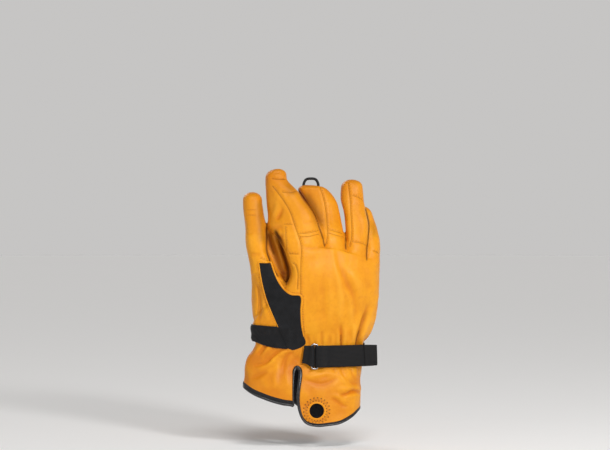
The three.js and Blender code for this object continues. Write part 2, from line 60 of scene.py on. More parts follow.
web_rows = [
    [-140, -56, 14, -14, 12, .05], [-118, -58, 14, -15, 10, .03], [-95, -57, 4, -15, 8.5, 0],
    [-75, -54, -14, -16.5, 7.5, 0], [-62, -54, -26, -18, 7, 0], [-50, -54, -34, -19, 6.5, 0],
]
thumb_rows = [
    [-110, -68.7, -40, -25, 14.5, 0], [-100, -70, -43.5, -25, 14.5, 0], [-82.6, -73.6, -50.4, -25, 14.5, 0],
    [-71.3, -75, -51.2, -24, 14.5, 0], [-52, -76.1, -52.2, -21, 14, 0], [-35.7, -78, -55.7, -17, 13.5, 0],
    [-15, -79.5, -57, -12, 13, 0],
]
index_rows = [
    [-84, -30, 15.5, -29, 17, .25], [-67.3, -40.3, 12.6, -28, 17.5, .10], [-57.5, -48.8, 9.2, -27, 17, -.05],
    [-47.2, -49.9, 5.2, -27, 15.5, -.15], [-38, -50.1, .6, -26, 14.5, -.20], [-25.3, -51.5, -8.4, -23, 13.5, -.20],
    [-16.1, -52.6, -14.4, -20, 13, -.15], [-9.8, -53.2, -20.5, -19, 12.5, -.10], [-3.9, -53.4, -26.5, -17, 12, 0],
    [10.8, -52, -27, -15, 12, 0],
]
middle_rows = [
    [-86, 16.2, 41, -17, 16, .35], [-69.7, 10.5, 39, -14, 14.5, .30], [-53, 3.5, 36, -9, 13.5, .25],
    [-40, -2.3, 33.6, -5, 13, .20], [-29, -8, 30.5, -2, 13, .15], [-16, -14.4, 22.5, 0, 12, .05],
    [-7.2, -16.1, 13.8, 0, 10, 0],
]
ring_rows = [
    [-92, 41.3, 65.2, -7, 15, .40], [-68.5, 40.8, 66.9, -4, 13.5, .35], [-54, 39.9, 68.2, -1, 13, .30],
    [-44.9, 38.8, 66.9, 1, 13, .25], [-35.7, 37.0, 64.1, 3, 12.5, .20], [-25.3, 35.1, 61.8, 5, 12, .15],
    [-.3, 36, 59, 8, 11.5, .10],
]
little_rows = [
    [-99, 65.5, 80.3, 1, 13, .40], [-72, 61.5, 80.5, 7, 12, .35], [-59, 58.6, 78, 12, 11.5, .30],
    [-48.5, 55.2, 74.6, 16, 11, .30], [-31, 51, 68, 20, 10.5, .25],
]


def eased(knots, values, at):
    """Values on cubics through the knots, each knot's slope taken from both its neighbours."""
    slopes = np.gradient(values, knots, axis=0)
    i = np.clip(np.searchsorted(knots, at) - 1, 0, len(knots) - 2)
    span = (knots[i + 1] - knots[i])[..., None]
    t = np.clip((at - knots[i])[..., None] / span, 0, 1)
    level = values[i] * (1 + 2 * t) * (1 - t) ** 2 + values[i + 1] * t * t * (3 - 2 * t)
    return level + span * (slopes[i] * t * (1 - t) ** 2 + slopes[i + 1] * t * t * (t - 1))


def smooth_step(low, high, value):
    """0 below low, 1 above high, and 3t^2 - 2t^3 between."""
    t = np.clip((value - low) / (high - low), 0, 1)
    return t * t * (3 - 2 * t)


def oval_at(rows, z):
    """Left, right, middle, half thickness and slant of a form at the heights z."""
    rows = np.array(sorted(rows), float)
    return np.moveaxis(eased(rows[:, 0], rows[:, 1:], np.asarray(z, float)), -1, 0)


def on_form(rows, angle, z, out=0.0, shrink=1.0):
    """x = centre + half width cos^0.8 and y = middle + slant (x - centre) + half thickness sin^0.8, from angle 0
    at the right edge round the back."""
    left, right, middle, half, slant = oval_at(rows, z)
    cosine, sine, power = np.cos(angle), np.sin(angle), 2 / squareness
    across = np.sign(cosine) * np.abs(cosine) ** power * ((right - left) / 2 + out) * shrink
    through = np.sign(sine) * np.abs(sine) ** power * (half + out) * shrink
    return np.stack(np.broadcast_arrays((left + right) / 2 + across, middle + slant * across + through, z), -1)


def squares(rows, columns, wrap_rows=False, wrap_columns=False):
    """Corner numbers of the squares between neighbouring points of a grid that is stored row by row."""
    r = np.arange(rows if wrap_rows else rows - 1)[:, None]
    c = np.arange(columns if wrap_columns else columns - 1)
    r2, c2 = (r + 1) % rows, (c + 1) % columns
    return np.stack([r * columns + c, r * columns + c2, r2 * columns + c2, r2 * columns + c], -1).reshape(-1, 4)


def capped(rows, columns):
    """Faces of a closed strip that is stored ring by ring: its squares, and a lid on its first and last ring."""
    ring = np.arange(columns)[None]
    return [squares(rows, columns, wrap_columns=True), ring[:, ::-1], ring + (rows - 1) * columns]


def joined(parts):
    """Several point and face arrays as one: each part's faces count on from the points before it."""
    starts = np.cumsum([0] + [len(points) for points, _ in parts[:-1]])
    faces = [row for start, (_, rows) in zip(starts, parts) for group in rows for row in (group + start).tolist()]
    return np.concatenate([points for points, _ in parts]), faces


def piece_of(name, points, faces, *finishes):
    """A mesh object from points in millimetres and lists of corner numbers, with its materials in order."""
    mesh = bpy.data.meshes.new(name)
    mesh.from_pydata((np.asarray(points).reshape(-1, 3) * mm).tolist(), [], list(faces))
    mesh.shade_smooth()
    for cover in finishes:
        mesh.materials.append(cover)
    piece = bpy.data.objects.new(name, mesh)
    bpy.context.scene.collection.objects.link(piece)
    return piece


def settled(piece):
    """The piece with its modifiers worked into its mesh."""
    bpy.context.view_layer.update()
    graph = bpy.context.evaluated_depsgraph_get()
    mesh = bpy.data.meshes.new_from_object(piece.evaluated_get(graph))
    piece.modifiers.clear()
    piece.data = mesh
    return piece


def points_of(mesh, normals=False):
    """A mesh's points, or its point normals, as one array with a row for each."""
    values = np.zeros(len(mesh.vertices) * 3, np.float32)
    if normals:
        mesh.vertex_normals.foreach_get("vector", values)
        return values.reshape(-1, 3).astype(float)
    mesh.vertices.foreach_get("co", values)
    return values.reshape(-1, 3).astype(float) / mm


def set_points(mesh, points):
    """A mesh's points moved to places given in millimetres."""
    mesh.vertices.foreach_set("co", (points * mm).astype(np.float32).ravel())


def set_measure(mesh, name, values):
    """One number at each point of a mesh, for its material to read."""
    mesh.attributes.new(name, "FLOAT", "POINT").data.foreach_set("value", values.astype(np.float32))


def full_turn(count):
    """Angles in even steps once round."""
    return np.linspace(0, 2 * np.pi, count, endpoint=False)


def tube(rows, bottom, top, dome=0.0, out=0.0, sides=72, step=2.5):
    """A closed stack of ovals from bottom to top; a dome closes it on a quarter ellipse like a fingertip."""
    top += out if dome else 0
    levels = np.linspace(bottom, top - dome, int((top - dome - bottom) / step) + 2)
    lift = np.sin(np.linspace(0, np.pi / 2, 9)[1:-1]) if dome else np.zeros(0)
    z = np.concatenate([levels, top - dome + dome * lift])
    shrink = np.concatenate([np.ones(len(levels)), np.sqrt(1 - lift ** 2)])
    angle = full_turn(sides)
    rings = on_form(rows, angle[None, :], z[:, None], out, shrink[:, None])
    points = np.concatenate([rings.reshape(-1, 3), rings[[0, -1]].mean(1)])
    s = np.arange(sides)
    first, last = sides * len(z), sides * (len(z) - 1)
    floor_fan = np.stack([np.full(sides, first), (s + 1) % sides, s], -1)
    roof_fan = np.stack([np.full(sides, first + 1), last + s, last + (s + 1) % sides], -1)
    return points, [squares(len(z), sides, wrap_columns=True), floor_fan, roof_fan]


def behind(part, rows, bottom, gap):
    """A finger's points that lie inside its neighbour, moved straight back to just behind the neighbour."""
    points, faces = part
    x, y, z = points.T
    left, right, middle, half, slant = oval_at(rows, z)
    across = x - (left + right) / 2
    share = np.abs(across) / ((right - left) / 2 + gap)
    depth = (half + gap) * np.clip(1 - share ** squareness, 0, None) ** (1 / squareness)
    centre = middle + slant * across
    inside = (np.abs(y - centre) < depth) & (z < rows[-1][0])
    y = y + np.where(inside, centre + depth - y, 0) * smooth_step(bottom, bottom + 8, z)
    return np.stack([x, y, z], -1), faces


def crotch_drop(x):
    """How much lower than beside the index finger the fingers part, by the place across the hand."""
    return np.interp(x, [14, 41, 65, 80], [0, -5, -13.5, -17])


def stepped_down(part):
    """The hand's top edge lowered toward the little finger, where its crotches lie deeper."""
    points, faces = part
    x, y, z = points.T
    return np.stack([x, y, z + crotch_drop(x) * smooth_step(-112, -82, z)], -1), faces


def one_skin(name, out, detail, rounds, clearance=1.7):
    """All forms of the hand, grown or shrunk by a distance, melted into one closed skin and smoothed. A finger
    that lies behind its neighbour keeps clear of it."""
    gap = clearance - out
    forms = [
        stepped_down(tube(hand_rows, -212, -79.5 + out, 0, out)),
        tube(mound_rows, -190, -92, 0, out),
        tube(web_rows, -138, -53, 9, out),
        tube(thumb_rows, -110, -15.6, 9, out),
        tube(index_rows, -84, 10.8, 9, out),
        behind(tube(middle_rows, -86, -7.2, 5, out), index_rows, -80, gap),
        behind(tube(ring_rows, -92, -.3, 9, out), middle_rows, -84, gap),
        behind(tube(little_rows, -99, -31, 8, out), ring_rows, -93, gap),
    ]
    skin = piece_of(name, *joined(forms))
    remesh = skin.modifiers.new("one skin", "REMESH")
    remesh.mode = "VOXEL"
    remesh.voxel_size = detail * mm
    soften = skin.modifiers.new("soft edges", "SMOOTH")
    soften.factor = .5
    soften.iterations = rounds
    return settled(skin)


hand = one_skin("leather_hand", 0, 1.25, 6)

# Seams as lines in the front view, in millimetres; a row ends with the seam's depth and half width. They stand in
# three groups, in each of which they keep clear of one another: along the fingers, across them, and the second
# rows beside those.
long_seams = [
    ([(-45.2, -8.6), (-40.3, -14.5), (-29.9, -28.8), (-23, -41.4), (-19.6, -51.8), (-16.1, -62.1), (-12.2, -73.6),
      (-11, -81.7), (-11.7, -96.6), (-11.7, -140), (-10.8, -165), (-8.9, -180), (-6.8, -191)], .9, 1.3),
    ([(-29.2, -54), (-28.8, -70), (-27.8, -85.1)], .4, 1.0),
    ([(10.6, -9.3), (15.2, -26.5), (18.0, -44.9), (18.0, -71.3), (16.6, -78)], .9, 1.2),
    ([(43.0, -3.3), (45.3, -24.2), (46.4, -44.9), (46.3, -71.3), (44, -80)], .9, 1.2),
    ([(-61.5, -122.8), (-60.1, -143.8), (-62.1, -160.1)], .6, 1.1),
]
cross_seams = [
    ([(-46, -.7), (-37, -1.7), (-28.2, -1.3)], 1.1, .9),
    ([(-34.5, -16.1), (-25, -17.2), (-15, -14.5)], .8, 1.2),
    ([(-32, -53.4), (-19.8, -53.2)], .6, 1.0),
    ([(-14.6, -63.8), (-3, -63.2), (9.5, -60.0)], .7, 1.1),
    ([(-26.3, -86.9), (-13, -87.5)], .7, 1.1),
    ([(-21.9, -96.6), (-18, -99.6), (-16.1, -104.5), (-15.8, -128.8)], 1.0, 1.0),
    ([(19.6, -59.1), (28, -61.2), (37.6, -64.4)], .7, 1.1),
    ([(47.4, -19.4), (55, -22.1), (61.8, -26.3)], .6, 1.1),
    ([(46.3, -73.2), (56, -74.6), (66.3, -78.6)], .7, 1.1),
    ([(71.1, -83.8), (76, -85.4), (80.4, -88.6)], 1.2, 1.1),
    ([(-74, -36.6), (-61.9, -36.6)], .3, 1.0),
    ([(-59, -92), (-47, -95.5)], .6, 1.1),
]
second_rows = [
    ([(-14.0, -67.6), (-3, -67.2), (10.6, -64.0)], .5, 1.0),
    ([(19.4, -63.0), (28, -65.3), (38.6, -68.6)], .5, 1.0),
    ([(-74, -42.6), (-61.9, -42.6)], .3, 1.0),
]

# Gaps are the clefts, written as seams are: each sinks a valley and lays painted shade along it. The first four
# part the fingers and the thumb; the others are painted shade beside them, in the web between thumb and index
# finger, and in the tight pleats at the wrist.
clefts_and_painted_shade = [
    ([(-51.8, -44), (-50.8, -56), (-50.6, -72), (-50.4, -83), (-46.8, -95), (-41.5, -106), (-36, -114)], 1.2, 1.3),
    ([(-19, -6), (-13.4, -16.5), (-7.6, -25.6), (1.2, -37.6), (6.0, -47.2), (10.0, -57.5), (13.4, -67.3),
      (15.2, -77), (15.6, -80.5)], 2.4, 1.05),
    ([(37.6, -50), (38.8, -58), (39.8, -66), (40.4, -75), (40.9, -84)], 2.6, 1.0),
    ([(63.6, -33), (66, -44), (67.8, -54), (67, -69), (65.4, -82), (64.6, -96)], 2.4, 1.05),
    ([(-43, -57), (-39.5, -66), (-35.8, -75), (-32, -87), (-28.6, -97), (-26.4, -106), (-26.8, -116),
      (-30, -125)], 1.0, 3.4),
    ([(-49.4, -62), (-46.6, -77), (-42, -90)], .7, 2.0),
    ([(-11, -12), (-3, -24), (5.5, -38), (10.5, -50), (14, -62)], .55, 7.5),
    ([(-29, -2), (-24, -13), (-14, -21)], .3, 6),
    ([(-59.5, -20), (-57.5, -50), (-55, -80)], .4, 6.5),
    ([(-49, -56), (-45, -70), (-40, -86), (-35, -102), (-31, -116), (-30, -130)], .5, 5.0),
    ([(70, -46), (73, -58), (73.5, -74)], .3, 6),
    ([(34.9, -180), (35, -192), (35, -204)], .8, .95),
    ([(57.6, -175), (55.2, -182.5), (53.3, -191), (52.8, -204)], .9, 1.15),
    ([(66.5, -152), (62, -163), (58, -174), (54.8, -186), (53, -200)], .24, 3.4),
]

# Creases are soft; a row ends with the crease's height, below zero where it is a valley, and its half width.
creases = [
    ([(-44, 5.6), (-38, 6.6), (-33, 5.2)], -.7, 1.4),
    ([(-49, -62), (-46.4, -76.7), (-41, -89), (-37, -101)], -1.6, 2.2),
    ([(-45, -62), (-38.4, -78.7), (-33.6, -93.6), (-30.8, -107)], 1.6, 2.2),
    ([(-41.4, -62), (-36.6, -72), (-31.8, -85), (-28, -98), (-27, -111)], -2.4, 2.4),
    ([(-36, -110), (-29, -115.5)], -1.6, 1.5),
    ([(-33.5, -107.5), (-27, -111)], -1.4, 1.4),
    ([(-37, -114), (-30, -120)], 1.4, 1.5),
    ([(-10.4, -78.4), (0, -80.6), (13.5, -79.0)], -1.0, 2.4),
    ([(-46, -60), (-36, -57), (-30, -61)], -1.2, 3.2),
    ([(-38, -72), (-31, -64)], -1.0, 2.6),
    ([(-10, -52), (2, -50), (8, -44)], -.6, 3.0),
    ([(-40, -49), (-36, -42), (-33, -34)], -1.7, 2.2),
    ([(-44, -44), (-40, -36), (-39, -26)], 1.0, 3.0),
    ([(28, -82), (32, -100), (40, -116.6), (47.2, -132), (50.6, -148), (52, -166)], -1.7, 4.4),
    ([(24.5, -76), (27.6, -100), (31.5, -117), (34, -134), (33.6, -152), (32.5, -170)], 1.4, 3.6),
    ([(38, -126), (44, -138), (46.5, -154), (46.6, -172)], 1.2, 3.2),
    ([(46, -106), (54, -120), (59.5, -138)], 1.3, 6.0),
    ([(67, -146), (61.6, -162), (57.4, -175), (54.2, -186), (53, -204)], -2.5, 2.7),
    ([(71.5, -150), (67, -165), (61.6, -180), (59, -198)], 1.6, 3.2),
    ([(50.5, -168), (49, -184), (47.5, -204)], 1.2, 2.6),
    ([(34.6, -168), (35, -186), (35, -204)], -2.2, 1.5),
    ([(31, -172), (30.8, -188), (30.8, -204)], 1.0, 1.9),
    ([(39.2, -172), (39.4, -188), (39.4, -204)], 1.1, 2.0),
    ([(13.7, -100), (14.4, -130), (15, -168)], -.5, 4.0),
    ([(21, -110), (21.5, -140), (21.5, -170)], .8, 4.0),
    ([(45.5, -170), (44.5, -192)], -1.0, 2.2),
    ([(12, -176), (12.5, -193)], -1.3, 1.8),
    ([(22, -180), (21.6, -193)], -.8, 1.8),
    ([(-5, -180), (-1, -193)], -1.2, 2.0),
    ([(-61.5, -122), (-58.6, -143.8), (-60.5, -166)], -1.5, 2.2),
    ([(-55, -140), (-53, -152), (-48, -166)], .9, 2.6),
    ([(-71, -86), (-66, -88), (-58, -86)], -.8, 2.2),
    ([(-75, -62), (-66, -64), (-54, -60)], -.7, 2.6),
    ([(23, -30), (22, -44), (24, -56)], -.6, 3.0),
    ([(55, -40), (58, -52), (57, -66)], -.6, 3.2),
]

# The palm's creases, seen through the hand from the front.
palm_creases = [
    ([(-44, -92), (-26, -101), (-9, -122), (-5, -146), (-9, -168)], -1.3, 2.6),
    ([(-36, -94), (-8, -100), (26, -107), (52, -116)], -1.0, 2.6),
    ([(-8, -104), (24, -98), (54, -98), (78, -103)], -.9, 2.8),
    ([(-47, -50), (-26, -48), (-4, -45)], -.9, 2.2),
    ([(-6, -42), (14, -43), (34, -41)], -.9, 2.2),
    ([(38, -48), (52, -50), (68, -48)], -.9, 2.2),
    ([(-32, -84), (-8, -84), (12, -82)], -.8, 2.4),
    ([(16, -84), (28, -86), (39, -88)], -.8, 2.4),
    ([(-77, -56), (-64, -58), (-52, -56)], -.9, 2.2),
    ([(-60, -176), (-20, -180), (20, -182), (60, -184)], -.7, 3.0),
]


def beside(line, x, z):
    """Each point's distance from a line in the front view, below zero on the line's right, how far along the line
    that is, and the line's length."""
    nearest, place, start, side = np.full(x.shape, np.inf), np.zeros(x.shape), 0.0, np.ones(x.shape)
    for (x0, z0), (x1, z1) in zip(line[:-1], line[1:]):
        length = np.hypot(x1 - x0, z1 - z0)
        t = np.clip(((x - x0) * (x1 - x0) + (z - z0) * (z1 - z0)) / length ** 2, 0, 1)
        away = np.hypot(x - x0 - t * (x1 - x0), z - z0 - t * (z1 - z0))
        place = np.where(away < nearest, start + t * length, place)
        side = np.where(away < nearest, np.sign((x1 - x0) * (z - z0) - (z1 - z0) * (x - x0)), side)
        nearest = np.minimum(nearest, away)
        start += length
    return nearest * side, place, start


def run_along(line):
    """How far along a line each of its points lies."""
    return np.concatenate([[0], np.cumsum(np.linalg.norm(np.diff(line, axis=0), axis=1))])


def bent(places, step=1.5):
    """A smooth line through a few places, with a point every step."""
    places = np.array(places, float)
    run = run_along(places)
    return eased(run, places, np.linspace(0, run[-1], int(run[-1] / step) + 2))


def seam_relief(rows, x, z, shoulders):
    """Height of sunk seams and a mask of painted shade along them, darkest on the line: a valley of depth
    exp(-(distance / width)^2), between two shoulders of a share of that depth that stand 2.8 widths away and
    pucker every 5 mm."""
    height, dark = np.zeros(x.shape), np.zeros(x.shape)
    for line, depth, width in rows:
        away, place, length = beside(bent(line), x, z)
        fade = max(3, 1.9 * width)
        ends = smooth_step(0, fade, place) * smooth_step(0, fade, length - place)
        valley = np.exp(-(away / width) ** 2) * ends
        shoulder = np.exp(-((np.abs(away) - 2.8 * width) / (1.4 * width)) ** 2) * ends
        height += depth * (shoulders * shoulder * (1 + .5 * np.cos(place * 2 * np.pi / 5)) - valley)
        dark = np.maximum(dark, np.exp(-(away / (.7 * width)) ** 2) * ends * min(depth, 1))
    return height, dark


def seam_thread_line(rows, x, z):
    """The distance to the nearest seam, with its side, and how strongly that seam shows: up to 1 near it and 0
    past its ends."""
    nearest, shown = np.full(x.shape, 9.0), np.zeros(x.shape)
    for line, depth, _ in rows:
        away, place, length = beside(bent(line), x, z)
        closer = np.abs(away) < np.abs(nearest)
        ends = smooth_step(0, 2, place) * smooth_step(0, 2, length - place)
        nearest = np.where(closer, away, nearest)
        shown = np.where(closer, ends * smooth_step(3.4, 2.2, np.abs(away)) * (.45 + .55 * depth), shown)
    return nearest, shown


def relaxed(points, edges, share, rounds):
    """Points moved toward the mean of their neighbours along the edges, each by its share, a number of times."""
    number = np.bincount(edges.ravel(), minlength=len(points))[:, None]
    for _ in range(rounds):
        others = points[edges[:, ::-1].ravel()]
        total = [np.bincount(edges.ravel(), column, len(points)) for column in others.T]
        points = points + share[:, None] * (np.stack(total, -1) / number - points)
    return points


def crease_relief(rows, x, z):
    """Soft ridges and valleys: height exp(-(distance / width)^2) sin^0.6, the sine's half turn along the line."""
    total = np.zeros(x.shape)
    for line, height, width in rows:
        away, place, length = beside(bent(line, 3), x, z)
        total += height * np.exp(-(away / width) ** 2) * np.clip(np.sin(np.pi * place / length), 0, 1) ** .6
    return total


def ripples(points, wavelength, seed, count=9):
    """The mean of plane waves of about one wavelength in seeded directions, roughly between -1 and 1."""
    random = np.random.default_rng(seed)
    ways = random.normal(size=(3, count))
    ways *= 2 * np.pi / wavelength / np.linalg.norm(ways, axis=0) * random.uniform(.7, 1.4, count)
    return np.sin(points @ ways + random.uniform(0, 2 * np.pi, count)).mean(1) * 2


def cuff_top(x, front):
    """Height at which the cuff begins: under the wrist band, and under the strap on the right of the front."""
    at_front = np.interp(x, [-80, -45, -28, -22, -9], [-179, -184, -187, -188, -204])
    return np.where(front, at_front, np.interp(x, [-70, 60], [-178.5, -205]))


points, normals = points_of(hand.data), points_of(hand.data, normals=True)
edges = np.zeros(len(hand.data.edges) * 2, np.int32)
hand.data.edges.foreach_get("vertices", edges)
edges = edges.reshape(-1, 2)
x, y, z = points.T
facing, palmward = smooth_step(.1, .55, -normals[:, 1]), smooth_step(.1, .6, normals[:, 1])

# Where the fingers leave the back of the hand, the step between the forms is smoothed away, in depth alone.
knuckles = -81 + crotch_drop(x)
near_knuckles = .6 * smooth_step(15, 6, np.abs(z - knuckles)) * smooth_step(-16, -8, x)
y = points[:, 1] = relaxed(points, edges, near_knuckles * smooth_step(.3, .6, -normals[:, 1]), 70)[:, 1]

# The leather moves in and out along its normals: seams, gaps, creases, loose ripples, gathers above the wrist band
# and a tuck under it. The gaps between the fingers are then smoothed once more.
seam_height, _ = seam_relief(long_seams + cross_seams + second_rows, x, z, .4)
gap_height, painted_gap_shade_mask = seam_relief(clefts_and_painted_shade, x, z, 0)
folds = crease_relief(creases, x, z) * facing + crease_relief(palm_creases, x, z) * palmward
gathers = np.cos(x * 2 * np.pi / 8.5 + np.sin(x / 9)) * smooth_step(-178, -194, z) * .7
loose = ripples(points, 34, 3) * .55 + ripples(points, 13, 5) * .22 + ripples(points, 6, 8) * .07
tucked = smooth_step(5, -3, z - cuff_top(x, y < -4))
lift = (.55 * seam_height + gap_height) * facing + folds + loose + gathers * (1 - tucked) - 1.9 * tucked
points += normals * np.maximum(lift, -2.5)[:, None]
by_gap, _ = seam_thread_line(clefts_and_painted_shade[:4], x, z)
points = relaxed(points, edges, .6 * smooth_step(3.6, 2.0, np.abs(by_gap)), 9)
set_points(hand.data, points)
# The material reads these: the gap mask, on front-facing leather only, as painted shade, and the fold relief,
# whose valleys take painted shade and whose ridges turn paler.
marks = {"gap": painted_gap_shade_mask * smooth_step(-.2, .3, -normals[:, 1]), "relief_and_shade": np.clip(folds + loose, -2, 2)}
for group, rows in (("one", long_seams), ("two", cross_seams), ("three", second_rows)):
    marks["seam " + group], shown = seam_thread_line(rows, x, z)
    marks["seam shows " + group] = shown * facing
for name, values in marks.items():
    set_measure(hand.data, name, values)


def add(tree, kind, inputs, **settings):
    """A node with its settings made, and each input set to a value or fed from another node's socket."""
    new = tree.nodes.new(kind)
    for name, value in settings.items():
        setattr(new, name, value)
    for key, value in inputs.items():
        if isinstance(value, bpy.types.NodeSocket):
            tree.links.new(value, new.inputs[key])
        else:
            new.inputs[key].default_value = value
    return new


def finish(name, roughness, **levels):
    """A new material, its node tree, its shader and its place in the object's own coordinates."""
    made = bpy.data.materials.new(name)
    made.use_nodes = True
    tree = made.node_tree
    shader = tree.nodes["Principled BSDF"]
    shader.inputs["Roughness"].default_value = roughness
    for key, value in levels.items():
        shader.inputs[key.replace("_", " ")].default_value = value
    place = tree.nodes.new("ShaderNodeTexCoord").outputs["Object"]
    return made, tree, shader, place


def spread(tree, value, low, high, least=0.0, most=1.0):
    """The value carried from the range low to high onto least to most, and held there."""
    inputs = {"Value": value, "From Min": low, "From Max": high, "To Min": least, "To Max": most}
    return add(tree, "ShaderNodeMapRange", inputs).outputs["Result"]


def dyed(tree, share, one, other):
    """One colour turning into the other as the share goes from 0 to 1."""
    one, other = (c if isinstance(c, bpy.types.NodeSocket) else (*c, 1) for c in (one, other))
    return add(tree, "ShaderNodeMix", {0: share, 6: one, 7: other}, data_type="RGBA").outputs[2]


def two_toned(tree, shader, share, one, other):
    """The shader's colour, turning from one to the other as the share goes from 0 to 1."""
    tree.links.new(dyed(tree, share, one, other), shader.inputs["Base Color"])


def reading(tree, name):
    """A number that the mesh carries at each point."""
    return add(tree, "ShaderNodeAttribute", {}, attribute_name=name).outputs["Fac"]


def worked_out(tree, operation, *values):
    """One operation on one or two values."""
    return add(tree, "ShaderNodeMath", dict(enumerate(values)), operation=operation).outputs["Value"]


def cloudy(tree, place, scale, detail=3):
    """Soft noise of the given number of clouds to the metre."""
    return add(tree, "ShaderNodeTexNoise", {"Vector": place, "Scale": scale, "Detail": detail}).outputs["Fac"]


def raised(tree, shader, height, depth, under=None):
    """The shader's surface tilted as if the height, from 0 to 1, stood that deep in metres."""
    bump = add(tree, "ShaderNodeBump", {"Height": height, "Distance": depth, "Strength": 1.0})
    if under:
        tree.links.new(under, bump.inputs["Normal"])
    tree.links.new(bump.outputs["Normal"], shader.inputs["Normal"])
    return bump.outputs["Normal"]


leather_light, leather_deep, flecks = (.79, .320, .009), (.73, .270, .006), (.62, .19, .006)
# Next come painted shade toward the fingertips, paler fold ridges (rubbed wear and a painted highlight), painted
# shade in fold valleys and painted shade in the gaps; the last is the seam grooves' own dark colour.
painted_tip_shade, rubbed_and_lit_ridges, painted_fold_shade = (.60, .19, .005), (.88, .40, .03), (.56, .145, .003)
painted_gap_shade, in_grooves = (.05, .012, .002), (.15, .042, .003)


def leather_finish():
    """Orange goatskin: cloudy dye and a pebbled grain, paler on fold ridges (rubbed wear and a painted highlight),
    with painted shade in the folds, between the fingers and toward the fingertips, and each seam a fine dark
    groove a millimetre wide."""
    made, tree, shader, place = finish("leather", .5, Sheen_Weight=.02, Specular_IOR_Level=.22)
    gap, relief_and_shade = reading(tree, "gap"), reading(tree, "relief_and_shade")
    colour = dyed(tree, spread(tree, cloudy(tree, place, 38), .35, .65), leather_light, leather_deep)
    colour = dyed(tree, spread(tree, cloudy(tree, place, 260), .45, .75, 0, .30), colour, flecks)
    height = add(tree, "ShaderNodeSeparateXYZ", {"Vector": place}).outputs["Z"]
    # Painted shade: darker toward the top of the glove, over the fingers.
    colour = dyed(tree, spread(tree, height, -.065, .005, 0, .75), colour, painted_tip_shade)
    # Paler on fold ridges (rubbed wear and a painted highlight), and painted shade in the fold valleys.
    colour = dyed(tree, spread(tree, relief_and_shade, .1, 1.6, 0, .45), colour, rubbed_and_lit_ridges)
    colour = dyed(tree, spread(tree, relief_and_shade, -.2, -2, 0, .7), colour, painted_fold_shade)
    # Painted shade in the clefts between the fingers, in the thumb's web, beside the fingers and in the pleats at
    # the wrist.
    colour = dyed(tree, spread(tree, gap, 0, 1, 0, .93), colour, painted_gap_shade)
    lines = []
    for group in ("one", "two", "three"):
        away = worked_out(tree, "ABSOLUTE", reading(tree, "seam " + group))
        shows = reading(tree, "seam shows " + group)
        lines.append(worked_out(tree, "MULTIPLY", spread(tree, away, .1, .55, 1, 0), shows))
    groove = worked_out(tree, "MAXIMUM", worked_out(tree, "MAXIMUM", lines[0], lines[1]), lines[2])
    two_toned(tree, shader, spread(tree, groove, 0, 1, 0, .48), colour, in_grooves)
    under = raised(tree, shader, spread(tree, groove, 0, 1, 1, 0), .0003)
    pebbles = add(tree, "ShaderNodeTexVoronoi", {"Vector": place, "Scale": 1250.0}).outputs["Distance"]
    under = raised(tree, shader, pebbles, .00010, under)
    raised(tree, shader, cloudy(tree, place, 420, 6), .00015, under)
    polish = spread(tree, cloudy(tree, place, 90), .3, .7, .36, .50)
    rough = worked_out(tree, "MAXIMUM", polish, spread(tree, gap, .15, .7, 0, .95))
    tree.links.new(rough, shader.inputs["Roughness"])
    return made


def fleece_finish():
    """Black brushed lining: matt, with a short uneven nap."""
    made, tree, shader, place = finish("lining fleece", .95, Specular_IOR_Level=.15)
    nap = cloudy(tree, place, 900, 4)
    two_toned(tree, shader, spread(tree, nap, .3, .7), (.010, .010, .012), (.030, .030, .034))
    raised(tree, shader, nap, .0004)
    return made


leather, fleece = leather_finish(), fleece_finish()

# The fleece inside is the same skin, shrunk by the wall of the hand and turned inside out. Both are cut off level
# under the strap, and their rims are joined.
hand_wall, hand_end = 3.6, -204
lined = one_skin("hand lining", -hand_wall, 3.2, 3)
hand.data.materials.clear()
hand.data.materials.append(leather)
hand.data.materials.append(fleece)
wall = bmesh.new()
wall.from_mesh(lined.data)
bmesh.ops.reverse_faces(wall, faces=wall.faces[:])
for face in wall.faces:
    face.material_index = 1
wall.from_mesh(hand.data)
everything = wall.verts[:] + wall.edges[:] + wall.faces[:]
bmesh.ops.bisect_plane(wall, geom=everything, plane_co=(0, 0, hand_end * mm), plane_no=(0, 0, -1),
                       clear_outer=True)
bmesh.ops.bridge_loops(wall, edges=[edge for edge in wall.edges if edge.is_boundary])
wall.to_mesh(hand.data)
wall.free()
bpy.data.objects.remove(lined)
hand.data.shade_smooth()
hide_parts("index_finger", "index_tip", "middle_finger", "middle_tip", "ring_finger", "ring_tip",
            "little_finger", "thumb", "back_panel", "palm_panel")
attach(hand, "root")


# The cuff: one sheet of the same leather that flares from under the strap to the hem, slit on the front so that it
# passes over a sleeve, with a round hole for hanging. It folds softly below the strap.
hem_level = -262

# The lower edge as a line in the front view, on the front and on the back. Its x is taken at the hem's level.
front_hem = bent([(-80, -235), (-67.4, -242.7), (-55.7, -247.4), (-43.9, -251.4), (-32.2, -254.4), (-21.6, -256.1),
                  (-17, -258), (-13.5, -262), (-9.9, -272), (-4, -279), (6.6, -282), (20.6, -281.4),
                  (35.9, -279), (47.6, -273), (58, -264)], 1)
back_hem = bent([(-80, -235), (-50, -246), (-26, -254.5), (-14, -264), (-3, -276), (8, -281), (24, -281),
                 (42, -276), (58, -264)], 1)
slit = np.array([(-21.2, -300), (-13.6, -300), (-13.6, -244), (-11.5, -232), (-10.4, -226), (-10.3, -223),
                 (-10.9, -219.6), (-12.6, -217.2), (-14.4, -216.1), (-16.2, -215.9), (-18.2, -216.6),
                 (-19.8, -218.2), (-20.9, -220.4), (-21.2, -222.5)])
hole_x, hole_z, hole_radius = 6.6, -267.3, 9.2
hole_at = np.array([hole_x, hole_z])
cuff_wall, front_depths = 2.0, (-120, -10)
